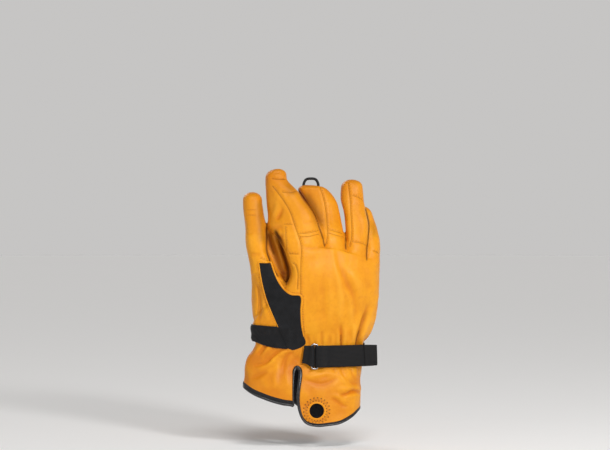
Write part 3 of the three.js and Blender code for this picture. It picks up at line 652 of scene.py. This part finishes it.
cuff_creases = [
    ([(-47, -187), (-54, -194), (-61, -204)], -1.7, 1.5),
    ([(-51, -188), (-60, -196), (-68, -206)], 1.0, 2.4),
    ([(-42, -190), (-51, -198), (-58, -207)], 1.1, 2.0),
    ([(-27, -194.5), (-37, -199), (-45, -206), (-53, -213), (-66, -216)], -2.0, 1.7),
    ([(-28, -199), (-40, -205), (-50, -214), (-63, -220)], 1.2, 2.6),
    ([(-19, -200), (-27, -204), (-31.5, -213), (-33, -224)], -1.4, 1.8),
    ([(-22, -204), (-26, -212), (-27.5, -226), (-26, -240)], .9, 3.2),
    ([(-36, -206), (-38, -216), (-41, -228), (-42, -242)], .9, 3.6),
    ([(-49, -222), (-58, -226), (-70, -230)], -1.3, 2.6),
    ([(-36, -215), (-47, -221), (-58, -233)], .6, 3.4),
    ([(-14, -205), (-18, -211)], -.8, 2.0),
    ([(-4, -224), (0, -219.5), (4, -217)], -1.0, 1.6),
    ([(-8, -229), (4, -227), (16, -224.5), (30, -225)], 1.5, 3.0),
    ([(-7, -231), (5, -236), (16, -236.5), (26, -232.5), (32, -229)], -1.3, 2.4),
    ([(32, -219), (35, -229), (42, -238), (48, -243)], 1.1, 2.6),
    ([(34, -218), (36, -226), (41, -233)], -1.1, 1.5),
    ([(26, -218), (27, -225)], -.8, 1.5),
    ([(45, -218), (47, -225), (52, -235)], -1.0, 1.8),
    ([(55, -218), (57, -230)], -1.2, 2.0),
    ([(33, -250), (40, -249.5), (46, -247), (53, -247), (59, -251)], -2.2, 1.5),
    ([(30, -244), (41, -243), (49, -241.5), (59, -245)], 1.4, 3.0),
    ([(38, -254), (46, -252), (53, -252), (58, -257)], 1.3, 2.4),
    ([(57, -253), (61, -257)], -2.0, 2.2),
    ([(23, -253.5), (30, -257), (36, -262), (43, -263.5)], -1.4, 1.8),
    ([(24, -249), (33, -252.5), (41, -258)], .8, 2.4),
    ([(44, -231), (48, -237), (53, -240)], -.7, 2.4),
]


def hem_at(x, front):
    """Height of the cuff's lower edge, read from its line by x."""
    return np.where(front, np.interp(x, *front_hem.T), np.interp(x, *back_hem.T))


def cuff_relief(points, front):
    """How far the leather stands off its plain form: folds on the front and a slow swell all round."""
    x, z = points[..., 0], points[..., 2]
    flat = points.reshape(-1, 3)
    swell = ripples(flat, 30, 11).reshape(x.shape) * .7 + ripples(flat, 11, 12).reshape(x.shape) * .2
    calm = smooth_step(0, 10, z - hem_at(x, front)) * smooth_step(0, 8, cuff_top(x, front) - z)
    return (crease_relief(cuff_creases, x, z) * front + swell) * (.25 + .75 * calm)


def on_cuff(angle, z, out=0.0):
    """A point of the cuff's outer face, or one that lies out from it."""
    front = np.sin(angle) < 0
    return on_form(hand_rows, angle, z, cuff_relief(on_form(hand_rows, angle, z), front) + out)


def front_angle(x, z):
    """The angle at which the front of the form passes a given x: the inverse of on_form."""
    left, right = oval_at(hand_rows, z)[:2]
    share = np.clip((x - (left + right) / 2) / ((right - left) / 2), -1, 1)
    return -np.arccos(np.sign(share) * np.abs(share) ** (squareness / 2))


def even_angles(count, z=-240):
    """Angles that step evenly along the form's outline at a height, from the right edge round the back."""
    dense = np.linspace(0, 2 * np.pi, 4001)
    run = run_along(on_form(hand_rows, dense, np.full(dense.shape, z)))
    return np.interp(np.linspace(0, run[-1], count, endpoint=False), run, dense)


def cuff_sheet(around, levels, outer, inner, lowest=0.0, highest=0.0):
    """The closed wall between two depths of the cuff, as a grid wrapped round the wrist and round its section."""
    angle = even_angles(around)[:, None]
    front = np.sin(angle) < 0
    x = on_form(hand_rows, angle, hem_level)[..., 0]
    bottom, top = hem_at(x, front) + lowest, cuff_top(x, front) + highest
    z = bottom + (top - bottom) * np.linspace(0, 1, levels)
    points = np.concatenate([on_cuff(angle, z, inner), on_cuff(angle, z, outer)[:, ::-1]], 1)
    return points, squares(around, 2 * levels, True, True).tolist()


def drilled(piece, outline, depth_range):
    """The piece cut through by a front-view outline carried back from one depth to another."""
    rings = [np.insert(np.asarray(outline, float), 1, depth, axis=1) for depth in depth_range]
    tool = piece_of("cutter", *joined([(np.concatenate(rings), capped(2, len(outline)))]))
    cut = bmesh.new()
    cut.from_mesh(tool.data)
    bmesh.ops.recalc_face_normals(cut, faces=cut.faces[:])
    cut.to_mesh(tool.data)
    cut.free()
    gap = piece.modifiers.new("gap", "BOOLEAN")
    gap.operation = "DIFFERENCE"
    gap.solver = "EXACT"
    gap.object = tool
    settled(piece)
    bpy.data.objects.remove(tool)


turn = full_turn(48)
hole = hole_at + hole_radius * np.stack([np.cos(turn), np.sin(turn)], -1)
cuff = piece_of("cuff_leather", *cuff_sheet(250, 62, .25, -cuff_wall), leather)
drilled(cuff, slit, front_depths)
drilled(cuff, hole, front_depths)
cuff.data.set_sharp_from_angle(angle=.9)

# The cuff's colour follows its own folds, paler on ridges and with painted shade in valleys, and more painted
# shade makes it darker than the hand throughout, darkest left of the slit.
points = points_of(cuff.data)
cuff_relief_and_shade = cuff_relief(points, points[:, 1] < -4) - .9 - .6 * smooth_step(-6, -24, points[:, 0])
set_measure(cuff.data, "relief_and_shade", cuff_relief_and_shade)
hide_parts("cuff")
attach(cuff, "root")


# The cuff's lining: black fleece a little inside the leather. It shows inside the cuff and through the hole.
lining = piece_of("cuff_fleece", *cuff_sheet(120, 30, -cuff_wall - .4, -cuff_wall - 1.5, 0, -5), fleece)
drilled(lining, slit + [0, 1.0], front_depths)
drilled(lining, (hole - hole_at) * 1.05 + hole_at, front_depths)
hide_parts("cuff_lining")
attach(lining, "root")


# The hem: a black tape folded round the cuff's edge, and below it a shiny bead of coated piping. The same piping
# binds the slit: up its left edge, over its top, and thicker down its right edge to the hem.
def carried(path, out, profile, closed=False):
    """A profile carried along a path: path + a out + b side for each profile point (a, b), side = along x out."""
    path, out = np.asarray(path, float), np.asarray(out, float)
    along = np.roll(path, -1, 0) - np.roll(path, 1, 0) if closed else np.gradient(path, axis=0)
    side = np.cross(along, out)
    side /= np.linalg.norm(side, axis=1, keepdims=True)
    out = np.cross(side, along)
    out /= np.linalg.norm(out, axis=1, keepdims=True)
    profile = np.asarray(profile, float)
    points = path[:, None] + profile[None, :, :1] * out[:, None] + profile[None, :, 1:] * side[:, None]
    count, sides = len(path), len(profile)
    return points.reshape(-1, 3), [squares(count, sides, True, True)] if closed else capped(count, sides)


def swept(name, path, out, profile, cloth, closed=False, girth=1.0):
    """A piece carried along a path, its profile scaled by a girth that may change on the way: each point p becomes
    path + girth (p - path). Its UV map holds the millimetres along the path and round the profile."""
    points, faces = carried(path, out, profile, closed)
    middle = np.repeat(path, len(profile), axis=0)
    points = middle + (points - middle) * np.repeat(np.broadcast_to(girth, len(path)), len(profile))[:, None]
    piece = piece_of(name, *joined([(points, faces)]), cloth)
    spot = np.stack(np.broadcast_arrays(run_along(path)[:, None], run_along(profile)), -1).reshape(-1, 2)
    corner = np.zeros(len(piece.data.loops), np.int32)
    piece.data.loops.foreach_get("vertex_index", corner)
    piece.data.uv_layers.new(name="weave").data.foreach_set("uv", spot[corner].astype(np.float32).ravel())
    return piece


def round_profile(radius, sides=12, flat=1.0):
    """A circle, or with flat below 1 an ellipse that is thinner off the surface."""
    turn = full_turn(sides)
    return np.stack([radius * flat * np.cos(turn), radius * np.sin(turn)], -1)


def waves(tree, place, scale, direction="X", **levels):
    """Soft bands across a direction, from 0 to 1 and back."""
    inputs = {key.replace("_", " "): value for key, value in levels.items()} | {"Vector": place, "Scale": scale}
    return add(tree, "ShaderNodeTexWave", inputs, bands_direction=direction).outputs["Fac"]


def tape_finish():
    """Black ribbed tape: a rib every 1.6 mm across its length."""
    made, tree, shader, _ = finish("hem tape", .8, Sheen_Weight=.1, Specular_IOR_Level=.25)
    rib = waves(tree, tree.nodes.new("ShaderNodeUVMap").outputs["UV"], .2, Distortion=.6, Detail=1.0)
    two_toned(tree, shader, rib, (.006, .006, .007), (.022, .022, .024))
    raised(tree, shader, rib, .0005)
    return made


def coated_finish():
    """Dark coated cord with a soft shine, scuffed a little grey."""
    made, tree, shader, place = finish("coated piping", .3, Specular_IOR_Level=.6)
    scuffs = cloudy(tree, place, 300)
    two_toned(tree, shader, spread(tree, scuffs, .45, .7), (.007, .007, .008), (.022, .022, .025))
    tree.links.new(spread(tree, scuffs, .3, .7, .24, .42), shader.inputs["Roughness"])
    raised(tree, shader, scuffs, .0002)
    return made


def hem_angles(first_x, last_x):
    """Angles along the hem from a place on the slit's right side, round the back, to one on its left side."""
    start, end = front_angle(first_x, hem_level), front_angle(last_x, hem_level + 5) + 2 * np.pi
    steps = even_angles(400, hem_level)
    steps = np.concatenate([steps - 2 * np.pi, steps])
    return np.concatenate([[start], steps[(steps > start) & (steps < end)], [end]])


def hem_path(angles, drop, out):
    """The hem's line round the wrist, dropped below the edge and out from the leather, with its outward direction
    and its fullness: the binding is twice as high left of the slit as right of it."""
    front = np.sin(angles) < 0
    x = on_form(hand_rows, angles, np.full(angles.shape, hem_level))[:, 0]
    full = np.where(front, np.interp(x, [-60, -18, -12, 58], [1, 1, .5, .5]), np.interp(x, [-60, 30], [1, .5]))
    z = hem_at(x, front) - drop * full
    near, far = on_cuff(angles, z, out), on_cuff(angles, z, out + 1)
    return near, far - near, full


coated = coated_finish()
around = hem_angles(-10.4, -20.2)
path, outward, full = hem_path(around, 1.7, -1.0)
taper = smooth_step(-1, 14, np.arange(len(full))) * smooth_step(-3, 2, np.arange(len(full))[::-1])
hem_tape = swept("hem_tape", path, outward, round_profile(2.0, 14) * [1.0, 1.5], tape_finish(),
                 girth=(.45 + .55 * full) * (.3 + .7 * taper))
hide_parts("hem_binding")
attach(hem_tape, "root")
around = hem_angles(-1.0, -20.2)
path, outward, full = hem_path(around, 4.9, -.7)
hem_bead = swept("hem_piping", path, outward, round_profile(1.5, 14), coated, girth=.7 + .3 * full)
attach(hem_bead, "root")

slit_line = bent([(-20.2, -261.5), (-20.3, -250), (-20.3, -238), (-20.2, -228), (-19.4, -221), (-16.4, -217.6),
                  (-13.2, -219.6), (-12.3, -225), (-13.0, -232), (-14.4, -244), (-14.7, -256), (-13.6, -264),
                  (-11.4, -272), (-8.6, -277.6), (-5.0, -281.3), (1.5, -283.9), (9, -284.5)], 1)
slit_on = on_cuff(front_angle(*slit_line.T), slit_line[:, 1], .2)
slit_out = on_cuff(front_angle(*slit_line.T), slit_line[:, 1], 1.2) - slit_on
girth = np.interp(np.linspace(0, 1, len(slit_line)),
                  [0, .26, .36, .46, .62, .85, 1], [1.1, 1.1, 2.3, 2.6, 2.1, 1.4, .9])
slit_bead = swept("slit_piping_bead", slit_on, slit_out, round_profile(1, 14, .85), coated, girth=girth)
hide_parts("slit_piping")
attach(slit_bead, "root")


# The wrist band: elastic knit tape sewn round the wrist below the palm, from the side panel round the back to the
# strap's root, edges rolled a little by the pull.
def knit_finish():
    """Black stretch knit: fine courses across and a little sheen."""
    made, tree, shader, place = finish("stretch knit", .82, Sheen_Weight=.12, Specular_IOR_Level=.2)
    courses = waves(tree, place, 260, "DIAGONAL", Distortion=1.2, Detail=2.0, Detail_Scale=3.0)
    cloud = cloudy(tree, place, 120)
    two_toned(tree, shader, spread(tree, cloud, .3, .7), (.0045, .0048, .0058), (.0095, .0098, .0115))
    raised(tree, shader, courses, .00015)
    return made


knit = knit_finish()

# A row holds the angle round the wrist, the height of the band's middle there and half its width.
band_rows = np.array([[-1.4, -205.2, 12.2], [0, -205.0, 12.2], [1.6, -192, 11.6], [2.9, -178.8, 10.2],
                      [3.3, -178.2, 10.0], [3.8, -180.6, 11.6], [4.1, -182.4, 12.4], [4.5, -184, 12.8]])


def band_points(angles, share, out):
    """Grid of the band: round the wrist by angle, across it by share of its half width, and faintly waved. At the
    wrist's left side its lower edge stands 2.4 mm further out, over the flare of the cuff."""
    middle, half = eased(band_rows[:, 0], band_rows[:, 1:], angles).T
    z = middle[:, None] + half[:, None] * share
    corner = 2.4 * np.exp(-((angles[:, None] - np.pi) / .3) ** 2) * smooth_step(0, -1, share)
    return on_form(hand_rows, angles[:, None], z, out + corner + .12 * np.cos(16.4 * np.pi * share))


band_angles = np.linspace(front_angle(15.5, -205.2), front_angle(-24, -187) + 2 * np.pi, 260)
across_band = np.linspace(-1, 1, 16)
edge_roll = 1.0 - .55 * np.abs(across_band) ** 6
outer = band_points(band_angles, across_band, .9 + edge_roll)
inner = band_points(band_angles, across_band, .7)
section = np.concatenate([inner, outer[:, ::-1]], 1)
band = piece_of("wrist_band_tape", *joined([(section.reshape(-1, 3), capped(*section.shape[:2]))]), knit)
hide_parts("wrist_band")
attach(band, "root")


# The side panel: thin black stretch knit let into the leather from the thumb's base to a point under the wrist
# band. It lies a little lower than the leather, whose turned edge runs round it with one row of stitches.
panel_left = [(-60.1, -96.6), (-58.5, -108.3), (-54.5, -128.3), (-50.9, -140.5), (-45.1, -154.6), (-39.2, -167.6),
              (-31, -186), (-26.3, -195.7), (-20.5, -197.9)]
panel_right = [(-46.2, -96.6), (-41.5, -109.6), (-36.9, -118.9), (-29.8, -128.3), (-22.8, -132.8), (-12.4, -134),
               (-11.3, -152.3), (-10.5, -167.6), (-8.7, -180.4), (-6.3, -190.4), (-13.6, -195.6), (-20.5, -197.9)]


def laid_on(targets, x, z, out):
    """Points of the front view dropped from the front onto the first piece that they meet, and raised off it."""
    depth = np.full(x.shape, 60.0)
    for target in targets:
        flat = np.stack([x.ravel(), np.full(x.size, -150.0), z.ravel()], -1)
        sheet = piece_of("laid", flat, [])
        drop = sheet.modifiers.new("drop", "SHRINKWRAP")
        drop.wrap_method = "PROJECT"
        drop.use_project_y = True
        drop.target = target
        settled(sheet)
        reached = points_of(sheet.data)[:, 1].reshape(x.shape)
        bpy.data.objects.remove(sheet)
        depth = np.where(reached > -149, np.minimum(depth, reached), depth)
    return np.stack([x, depth - out, z], -1)


def picked(line, run, at):
    """Points of a line at some distances along it, where run gives how far along each of its own points lies."""
    return np.stack([np.interp(at, run, column) for column in line.T], -1)


def shares(line, count):
    """A number of points at even shares of a smooth line's length."""
    line = bent(line, .5)
    run = run_along(line)
    return picked(line, run, np.linspace(0, run[-1], count))


rungs, steps = np.linspace(0, 1, 40), 110
left_edge, right_edge = shares(panel_left, steps), shares(panel_right, steps)
panel = left_edge[:, None] * (1 - rungs[None, :, None]) + right_edge[:, None] * rungs[None, :, None]
panel_points = laid_on([hand, cuff, band], panel[..., 0], panel[..., 1], .4)

# The panel is drawn smooth, but nowhere sinks below what it was dropped onto.
eased_depth = panel_points[..., 1].copy()
for _ in range(12):
    padded = np.pad(eased_depth, 1, mode="edge")
    eased_depth = (padded[:-2, 1:-1] + padded[2:, 1:-1] + padded[1:-1, :-2] + padded[1:-1, 2:]) / 4
    eased_depth = np.minimum(eased_depth, panel_points[..., 1])
panel_points[..., 1] = eased_depth
panel_back = panel_points + [0, 1.2, 0]
panel_sheet = np.concatenate([panel_points, panel_back[:, ::-1]], 1)
panel_faces = [faces[:, ::-1] for faces in capped(*panel_sheet.shape[:2])]
side_panel = piece_of("side_panel", *joined([(panel_sheet.reshape(-1, 3), panel_faces)]), knit)
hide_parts("side_gusset")
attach(side_panel, "root")

# The leather's turned edge, which ends under the wrist band on the left and above the strap on the right.
forward = np.array([0, -1.0, 0])
left_border, right_border = panel_points[::-1, 0], panel_points[:, -1]
left_border, right_border = left_border[left_border[:, 2] > -171], right_border[right_border[:, 2] > -183]
edge_on = np.concatenate([left_border, panel_points[0, 1:-1], right_border]) + [0, .1, 0]
run = np.linspace(0, 1, len(edge_on))
turned_edge = swept("panel_edge", edge_on, forward, round_profile(1.1, 10, .7), leather,
                    girth=np.interp(run, [0, .08, .36, .46, .95, 1], [.3, .55, .7, 1, 1, .4]))
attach(turned_edge, "root")


# The stitching: bonded thread, laid as separate short stitches that dip into the leather at both ends. Rows run
# beside the seams, in the shallow ones across the fingers, and round the side panel, and a ring of radial stitches
# holds the rolled edge of the cuff's hole.
beside_seam, beside_panel = 1.5, 2.3
stitch_rows = [(row[0], beside_seam) for row in long_seams] + [(row[0], 0.0) for row in second_rows]
stitch_rows += [(row[0], beside_seam if row[1] > .5 else 0.0) for row in cross_seams]


def thread_finish(name, colour):
    """Twisted thread: its ply shows as fine slanted bands."""
    made, tree, shader, place = finish(name, .55, Specular_IOR_Level=.4)
    two_toned(tree, shader, waves(tree, place, 1400, "DIAGONAL"), [.7 * c for c in colour], colour)
    return made


def seam_steps(line, aside, pitch=2.9, length=2.1):
    """Both ends of each stitch on a line in the front view, moved aside to the line's left as it runs."""
    line = bent(line, .4)
    run = run_along(line)
    along = np.gradient(line, axis=0)
    line = line + aside * np.stack([-along[:, 1], along[:, 0]], -1) / np.linalg.norm(along, axis=1)[:, None]
    first = np.arange(1.5, run[-1] - length - 1, pitch)
    return [picked(line, run, at) for at in (first, first + length)]


def stitches(name, starts, ends, targets, cloth, radius=.30):
    """Stitches as slim spindles of five rings of six points: start + t (end - start) + rise forward + swell (cos
    forward + sin side), where the rise and the swell are largest in the middle."""
    starts, ends = (laid_on(targets, places[:, 0], places[:, 1], 0.0) for places in (starts, ends))
    along = ends - starts
    side = np.cross(along, forward)
    side /= np.linalg.norm(side, axis=1, keepdims=True)
    t = np.array([0, .12, .5, .88, 1])
    swell = radius * np.array([.25, .9, 1.1, .9, .25])
    rise = np.array([-.25, .1, .3, .1, -.25])
    turn = full_turn(6)
    middle = starts[:, None] + along[:, None] * t[:, None] + rise[:, None] * forward
    ring = np.cos(turn)[:, None] * forward + np.sin(turn)[:, None] * side[:, None]
    points = middle[:, :, None] + swell[:, None, None] * ring[:, None]
    tips = [[3, 2, 1, 0], [0, 5, 4, 3], [24, 25, 26, 27], [27, 28, 29, 24]]
    one = np.concatenate([squares(5, 6, wrap_columns=True), tips])
    faces = (one[None] + 30 * np.arange(len(starts))[:, None, None]).reshape(-1, 4)
    row = piece_of(name, points, faces.tolist(), cloth)
    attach(row, "root")


thread = thread_finish("thread", (.70, .27, .012))
laid_steps = [seam_steps(line, aside) for line, aside in stitch_rows]
laid_steps.append(seam_steps(panel_left[:-3], -beside_panel))
laid_steps.append(seam_steps(panel_right[:-3], beside_panel))
stitches("seam_stitches", *(np.concatenate(side) for side in zip(*laid_steps)), [hand], thread)

# The hole's rolled edge, its ring of stitches, which stops short of the hem, and the holes that the needle left,
# drawn as dark spindles whose colour is painted shade.
rim_radius, ring_from, ring_to, ring_lowest, ring_count = 9.3, 11.4, 15.2, 12.7, 44
turn = full_turn(72)
rim_x, rim_z = hole_x + rim_radius * np.cos(turn), hole_z + rim_radius * np.sin(turn)
rim_on = on_cuff(front_angle(rim_x, rim_z), rim_z, -.3)
rim_out = on_cuff(front_angle(rim_x, rim_z), rim_z, .7) - rim_on
rim = swept("hole_rim", rim_on, rim_out, round_profile(1.0, 10), leather, closed=True)
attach(rim, "root")
turn = full_turn(ring_count)
lean = .05 * (-1.0) ** np.arange(ring_count)
reach = np.minimum(ring_to, ring_lowest / np.clip(-np.sin(turn + lean), .1, 1))[:, None]
inner = hole_at + np.minimum(ring_from, reach - 1.5) * np.stack([np.cos(turn - lean), np.sin(turn - lean)], -1)
outer = hole_at + reach * np.stack([np.cos(turn + lean), np.sin(turn + lean)], -1)
stitches("hole_stitches", inner, outer, [cuff], thread_finish("hole thread", (.62, .22, .010)))
pricked, prick_radius = np.concatenate([inner, outer]), .42
inward = (hole_at - pricked) / np.linalg.norm(hole_at - pricked, axis=1, keepdims=True) * prick_radius
# Painted shade: the needle holes are dark spindles whose colour stands for the shade inside the holes.
needle_hole_shade = thread_finish("needle hole", (.09, .025, .003))
stitches("needle_holes", pricked + inward, pricked - inward, [cuff], needle_hole_shade, prick_radius)


# The strap: ribbed nylon webbing that passes through a wire ring and folds back on itself. Its free end is folded
# double, cut aslant and stands off the glove. A short keeper of the same webbing holds the ring's other leg.
strap_middle, strap_width, strap_low, webbing = -205.2, 25.0, -217.7, 1.7
ring_left, ring_right, wire = .8, 7.6, 2.2


def face_y(x):
    """Depth of the cuff's face along the strap's lower edge."""
    x = np.asarray(x, float)
    z = np.full(x.shape, strap_low)
    return on_form(hand_rows, front_angle(x, z), z)[..., 1] - .3


def lying(x, clear, layer=1):
    """Depth of the middle of a layer of webbing over the cuff's face at an x, clear of what it lies on."""
    return float(face_y(x)) - clear - (layer - .5) * webbing


def webbing_finish():
    """Black nylon webbing: close ribs along its length, a weave across them and a dull nylon sheen."""
    made, tree, shader, _ = finish("webbing", .66, Sheen_Weight=.03, Specular_IOR_Level=.25)
    spot = tree.nodes.new("ShaderNodeUVMap").outputs["UV"]
    rib = waves(tree, spot, .22, "Y")
    two_toned(tree, shader, rib, (.003, .003, .0036), (.011, .011, .012))
    raised(tree, shader, waves(tree, spot, .30), .0002, raised(tree, shader, rib, .0003))
    return made


woven = webbing_finish()


def web_strip(name, line, middle_z, width, twist_from=1e3, thickness=webbing, over=0.0):
    """Flat webbing along a line seen in plan: a section with thinned edges carried along it, standing on edge, and
    twisting slowly about its length past an x. It may lie over the line, toward the viewer."""
    line = bent(line, .8)
    path = np.stack([line[:, 0], line[:, 1], np.full(len(line), middle_z)], -1)
    along = np.gradient(line, axis=0)
    out = np.stack([along[:, 1], -along[:, 0], np.zeros(len(line))], -1)
    out /= np.linalg.norm(out, axis=1, keepdims=True)
    twist = .42 * smooth_step(twist_from, twist_from + 45, line[:, :1])
    out = np.cos(twist) * out + np.sin(twist) * [0, 0, 1]
    t = np.linspace(-1, 1, 15)
    thick = thickness / 2 * (1 - .45 * np.abs(t) ** 8)
    section = np.concatenate([np.stack([thick, t * width / 2], -1), np.stack([-thick, t * width / 2], -1)[::-1]])
    return swept(name, path, out, section + [over, 0], woven)


def cut_aslant(piece, slant=3.2):
    """The strap's free end cut aslant: x falls by up to the slant toward the lower corner."""
    points = points_of(piece.data)
    up = (points[:, 2] - strap_middle - strap_width / 2) / strap_width
    points[:, 0] += slant * up * smooth_step(70, 78, points[:, 0])
    set_points(piece.data, points)


# In plan the strap runs from its root to the ring's right leg, half round it and back over itself, and from
# x = 34 nearly straight on to its free end.
fold = wire / 2 + .48 + webbing / 2
wire_y = {leg: lying(leg, .3) - fold for leg in (ring_left, ring_right)}
turning = np.radians([75, 45, 15, -15, -45, -75])
leaving, leaving_y = 34, lying(34, .6, 2)
slope = lying(leaving + 1, .6, 2) - leaving_y
strap_line = [(x, lying(x, .3)) for x in (14.6, 11)]
strap_line += [(ring_right - np.cos(a) * fold, wire_y[ring_right] + np.sin(a) * fold) for a in turning]
strap_line += [(11.5, wire_y[ring_right] - fold)] + [(x, lying(x, .6, 2)) for x in (19, 26, leaving)]
strap_line += [(x, leaving_y + (x - leaving) * slope + sag) for x, sag in ((50, .4), (64, .3), (78, 0))]
strap = web_strip("strap_webbing", strap_line, strap_middle, strap_width, 40)
cut_aslant(strap)
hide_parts("wrist_strap")
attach(strap, "root")
strap_run = bent(strap_line, .8)
folded = strap_run[strap_run[:, 0] > 61]
end_fold = web_strip("strap_end_fold", folded, strap_middle, strap_width - .8, 40, .9, webbing / 2 + .42)
cut_aslant(end_fold)
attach(end_fold, "root")

# The keeper does the same round the left leg, and its lower corner is pulled up and to the left.
keeper_line = [(x, lying(x, .3)) for x in (-7.6, -3)]
keeper_line += [(ring_left + np.cos(a) * (fold + .14), wire_y[ring_left] + np.sin(a) * fold) for a in turning]
keeper_line += [(x, lying(x, .8, 2)) for x in (-3, -7.6)]
keeper = web_strip("keeper_webbing", keeper_line, strap_middle + .3, strap_width - .6)
points = points_of(keeper.data)
low = smooth_step(.2, -1, (points[:, 2] - strap_middle) / (strap_width / 2))
points[:, 0] -= 2.8 * low * smooth_step(3, -7, points[:, 0])
points[:, 2] += 4.2 * low * smooth_step(3, -9, points[:, 0])
set_points(keeper.data, points)
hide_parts("strap_keeper")
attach(keeper, "root")


# The wire ring: plated round wire bent into a slim rounded rectangle, its joint hidden in the webbing.
def steel_finish():
    """Plated steel wire with fine draw marks, its bright colour darkened as a painted reflection of dark
    surroundings.
    """
    made, tree, shader, place = finish("plated wire", .22, Metallic=1.0)
    # Painted reflection: the base colour is darkened to stand for the dark surroundings that the plating reflects.
    shader.inputs["Base Color"].default_value = (.40, .40, .42, 1)
    raised(tree, shader, cloudy(tree, place, 1200), .00008)
    return made


ring_height, corner = 30.4, 2.6
height = ring_height / 2 - wire / 2
quarter = np.radians([0, 15, 30, 45, 60, 75, 90])
turns = [(ring_right - corner, height - corner, 0), (ring_left + corner, height - corner, 90),
         (ring_left + corner, -height + corner, 180), (ring_right - corner, -height + corner, 270)]
ring_line = np.concatenate([np.stack([cx + corner * np.cos(quarter + np.radians(a)),
                                      cz + corner * np.sin(quarter + np.radians(a))], -1) for cx, cz, a in turns])
ring_y = np.interp(ring_line[:, 0], [ring_left, ring_right], [wire_y[ring_left], wire_y[ring_right]])
ring_path = np.stack([ring_line[:, 0], ring_y, ring_line[:, 1] + strap_middle], -1)
wire_ring = swept("ring_wire", ring_path, forward, round_profile(wire / 2, 16), steel_finish(), closed=True)
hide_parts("wire_ring")
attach(wire_ring, "root")


# The hanging loop: round braided cord sewn into the seam of the middle fingertip.
def cord_finish():
    """Black braid: small slanted bundles of yarn."""
    made, tree, shader, _ = finish("braided cord", .7, Sheen_Weight=.15, Specular_IOR_Level=.3)
    spot = tree.nodes.new("ShaderNodeUVMap").outputs["UV"]
    ways = [{"Vector": spot, "Rotation": (0, 0, slope)} for slope in (.8, -.8)]
    strands = [waves(tree, add(tree, "ShaderNodeMapping", way).outputs["Vector"], .24) for way in ways]
    braid = worked_out(tree, "MULTIPLY", *strands)
    two_toned(tree, shader, braid, (.006, .006, .007), (.034, .034, .036))
    raised(tree, shader, braid, .0005)
    return made


loop_line = bent([(-8.2, 1, -13), (-8.2, .6, -5.4), (-5.6, .2, -1.1), (0, 0, 0), (5.6, .2, -1.1), (8.2, .6, -5.4),
                  (8.2, 1, -13)], .6)
loop = swept("loop_cord", loop_line, forward, round_profile(1.6, 14), cord_finish())
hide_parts("hang_loop")
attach(loop, "root")


# The studio: a wide pale floor, a pale room that dims overhead, soft lamps in front, weaker ones above and behind,
# and the camera level with the fingers' roots, straight in front of the back of the hand.
floor_z, floor_radius, floor_sides = -.31, 14.0, 96
turn = full_turn(floor_sides)
rim_points = np.stack([np.cos(turn), np.sin(turn), np.zeros(floor_sides)], -1) * floor_radius + [0, 0, floor_z]
stage = piece_of("floor", rim_points / mm, [list(range(floor_sides))])
paper, _, shader, _ = finish("paper", 1.0, Specular_IOR_Level=0.0)
shader.inputs["Base Color"].default_value = (.93, .92, .91, 1)
stage.data.materials.append(paper)

world = bpy.data.worlds.new("room")
world.use_nodes = True
tree = world.node_tree
direction = tree.nodes.new("ShaderNodeTexCoord").outputs["Generated"]
height = add(tree, "ShaderNodeSeparateXYZ", {"Vector": direction}).outputs["Z"]
room = dyed(tree, spread(tree, height, .22, .75), (.565, .557, .55), (.05, .048, .045))
tree.links.new(room, tree.nodes["Background"].inputs["Color"])
bpy.context.scene.world = world


def lamp(name, kind, place, aim, size, strength):
    """A lamp that faces a point: a square one, its size in metres, or a distant one, its size in radians."""
    light = bpy.data.lights.new(name, kind)
    setattr(light, "size" if kind == "AREA" else "angle", size)
    light.energy = strength
    made = bpy.data.objects.new(name, light)
    made.location = place
    made.rotation_euler = (Vector(aim) - Vector(place)).to_track_quat("-Z", "Y").to_euler()
    bpy.context.scene.collection.objects.link(made)


lamp("main lamp", "AREA", (1.0, -1.5, .58), (0, 0, -.10), .3, 19.5)
lamp("left lamp", "AREA", (-1.3, -1.4, .15), (0, 0, -.12), 1.0, 3.2)
lamp("room lamp", "SUN", (.2, -.8, 1.2), (0, 0, -.14), .35, 1.15)
lamp("back lamp", "SUN", (-1.0, 1.6, 1.0), (0, 0, -.14), .5, .7)
bpy.context.scene.view_settings.view_transform = "Standard"

# The frame is as wide as seen_width at the glove's face, which lies in front of the cord's middle.
camera = bpy.data.objects.new("camera", bpy.data.cameras.new("camera"))
bpy.context.scene.collection.objects.link(camera)
distance, face, seen_width = 2.2, .027, .7015
camera.location = (-.0069, -distance, -.054)
camera.rotation_euler = (np.pi / 2, 0, 0)
camera.data.lens = camera.data.sensor_width * (distance - face) / seen_width
bpy.context.scene.camera = camera
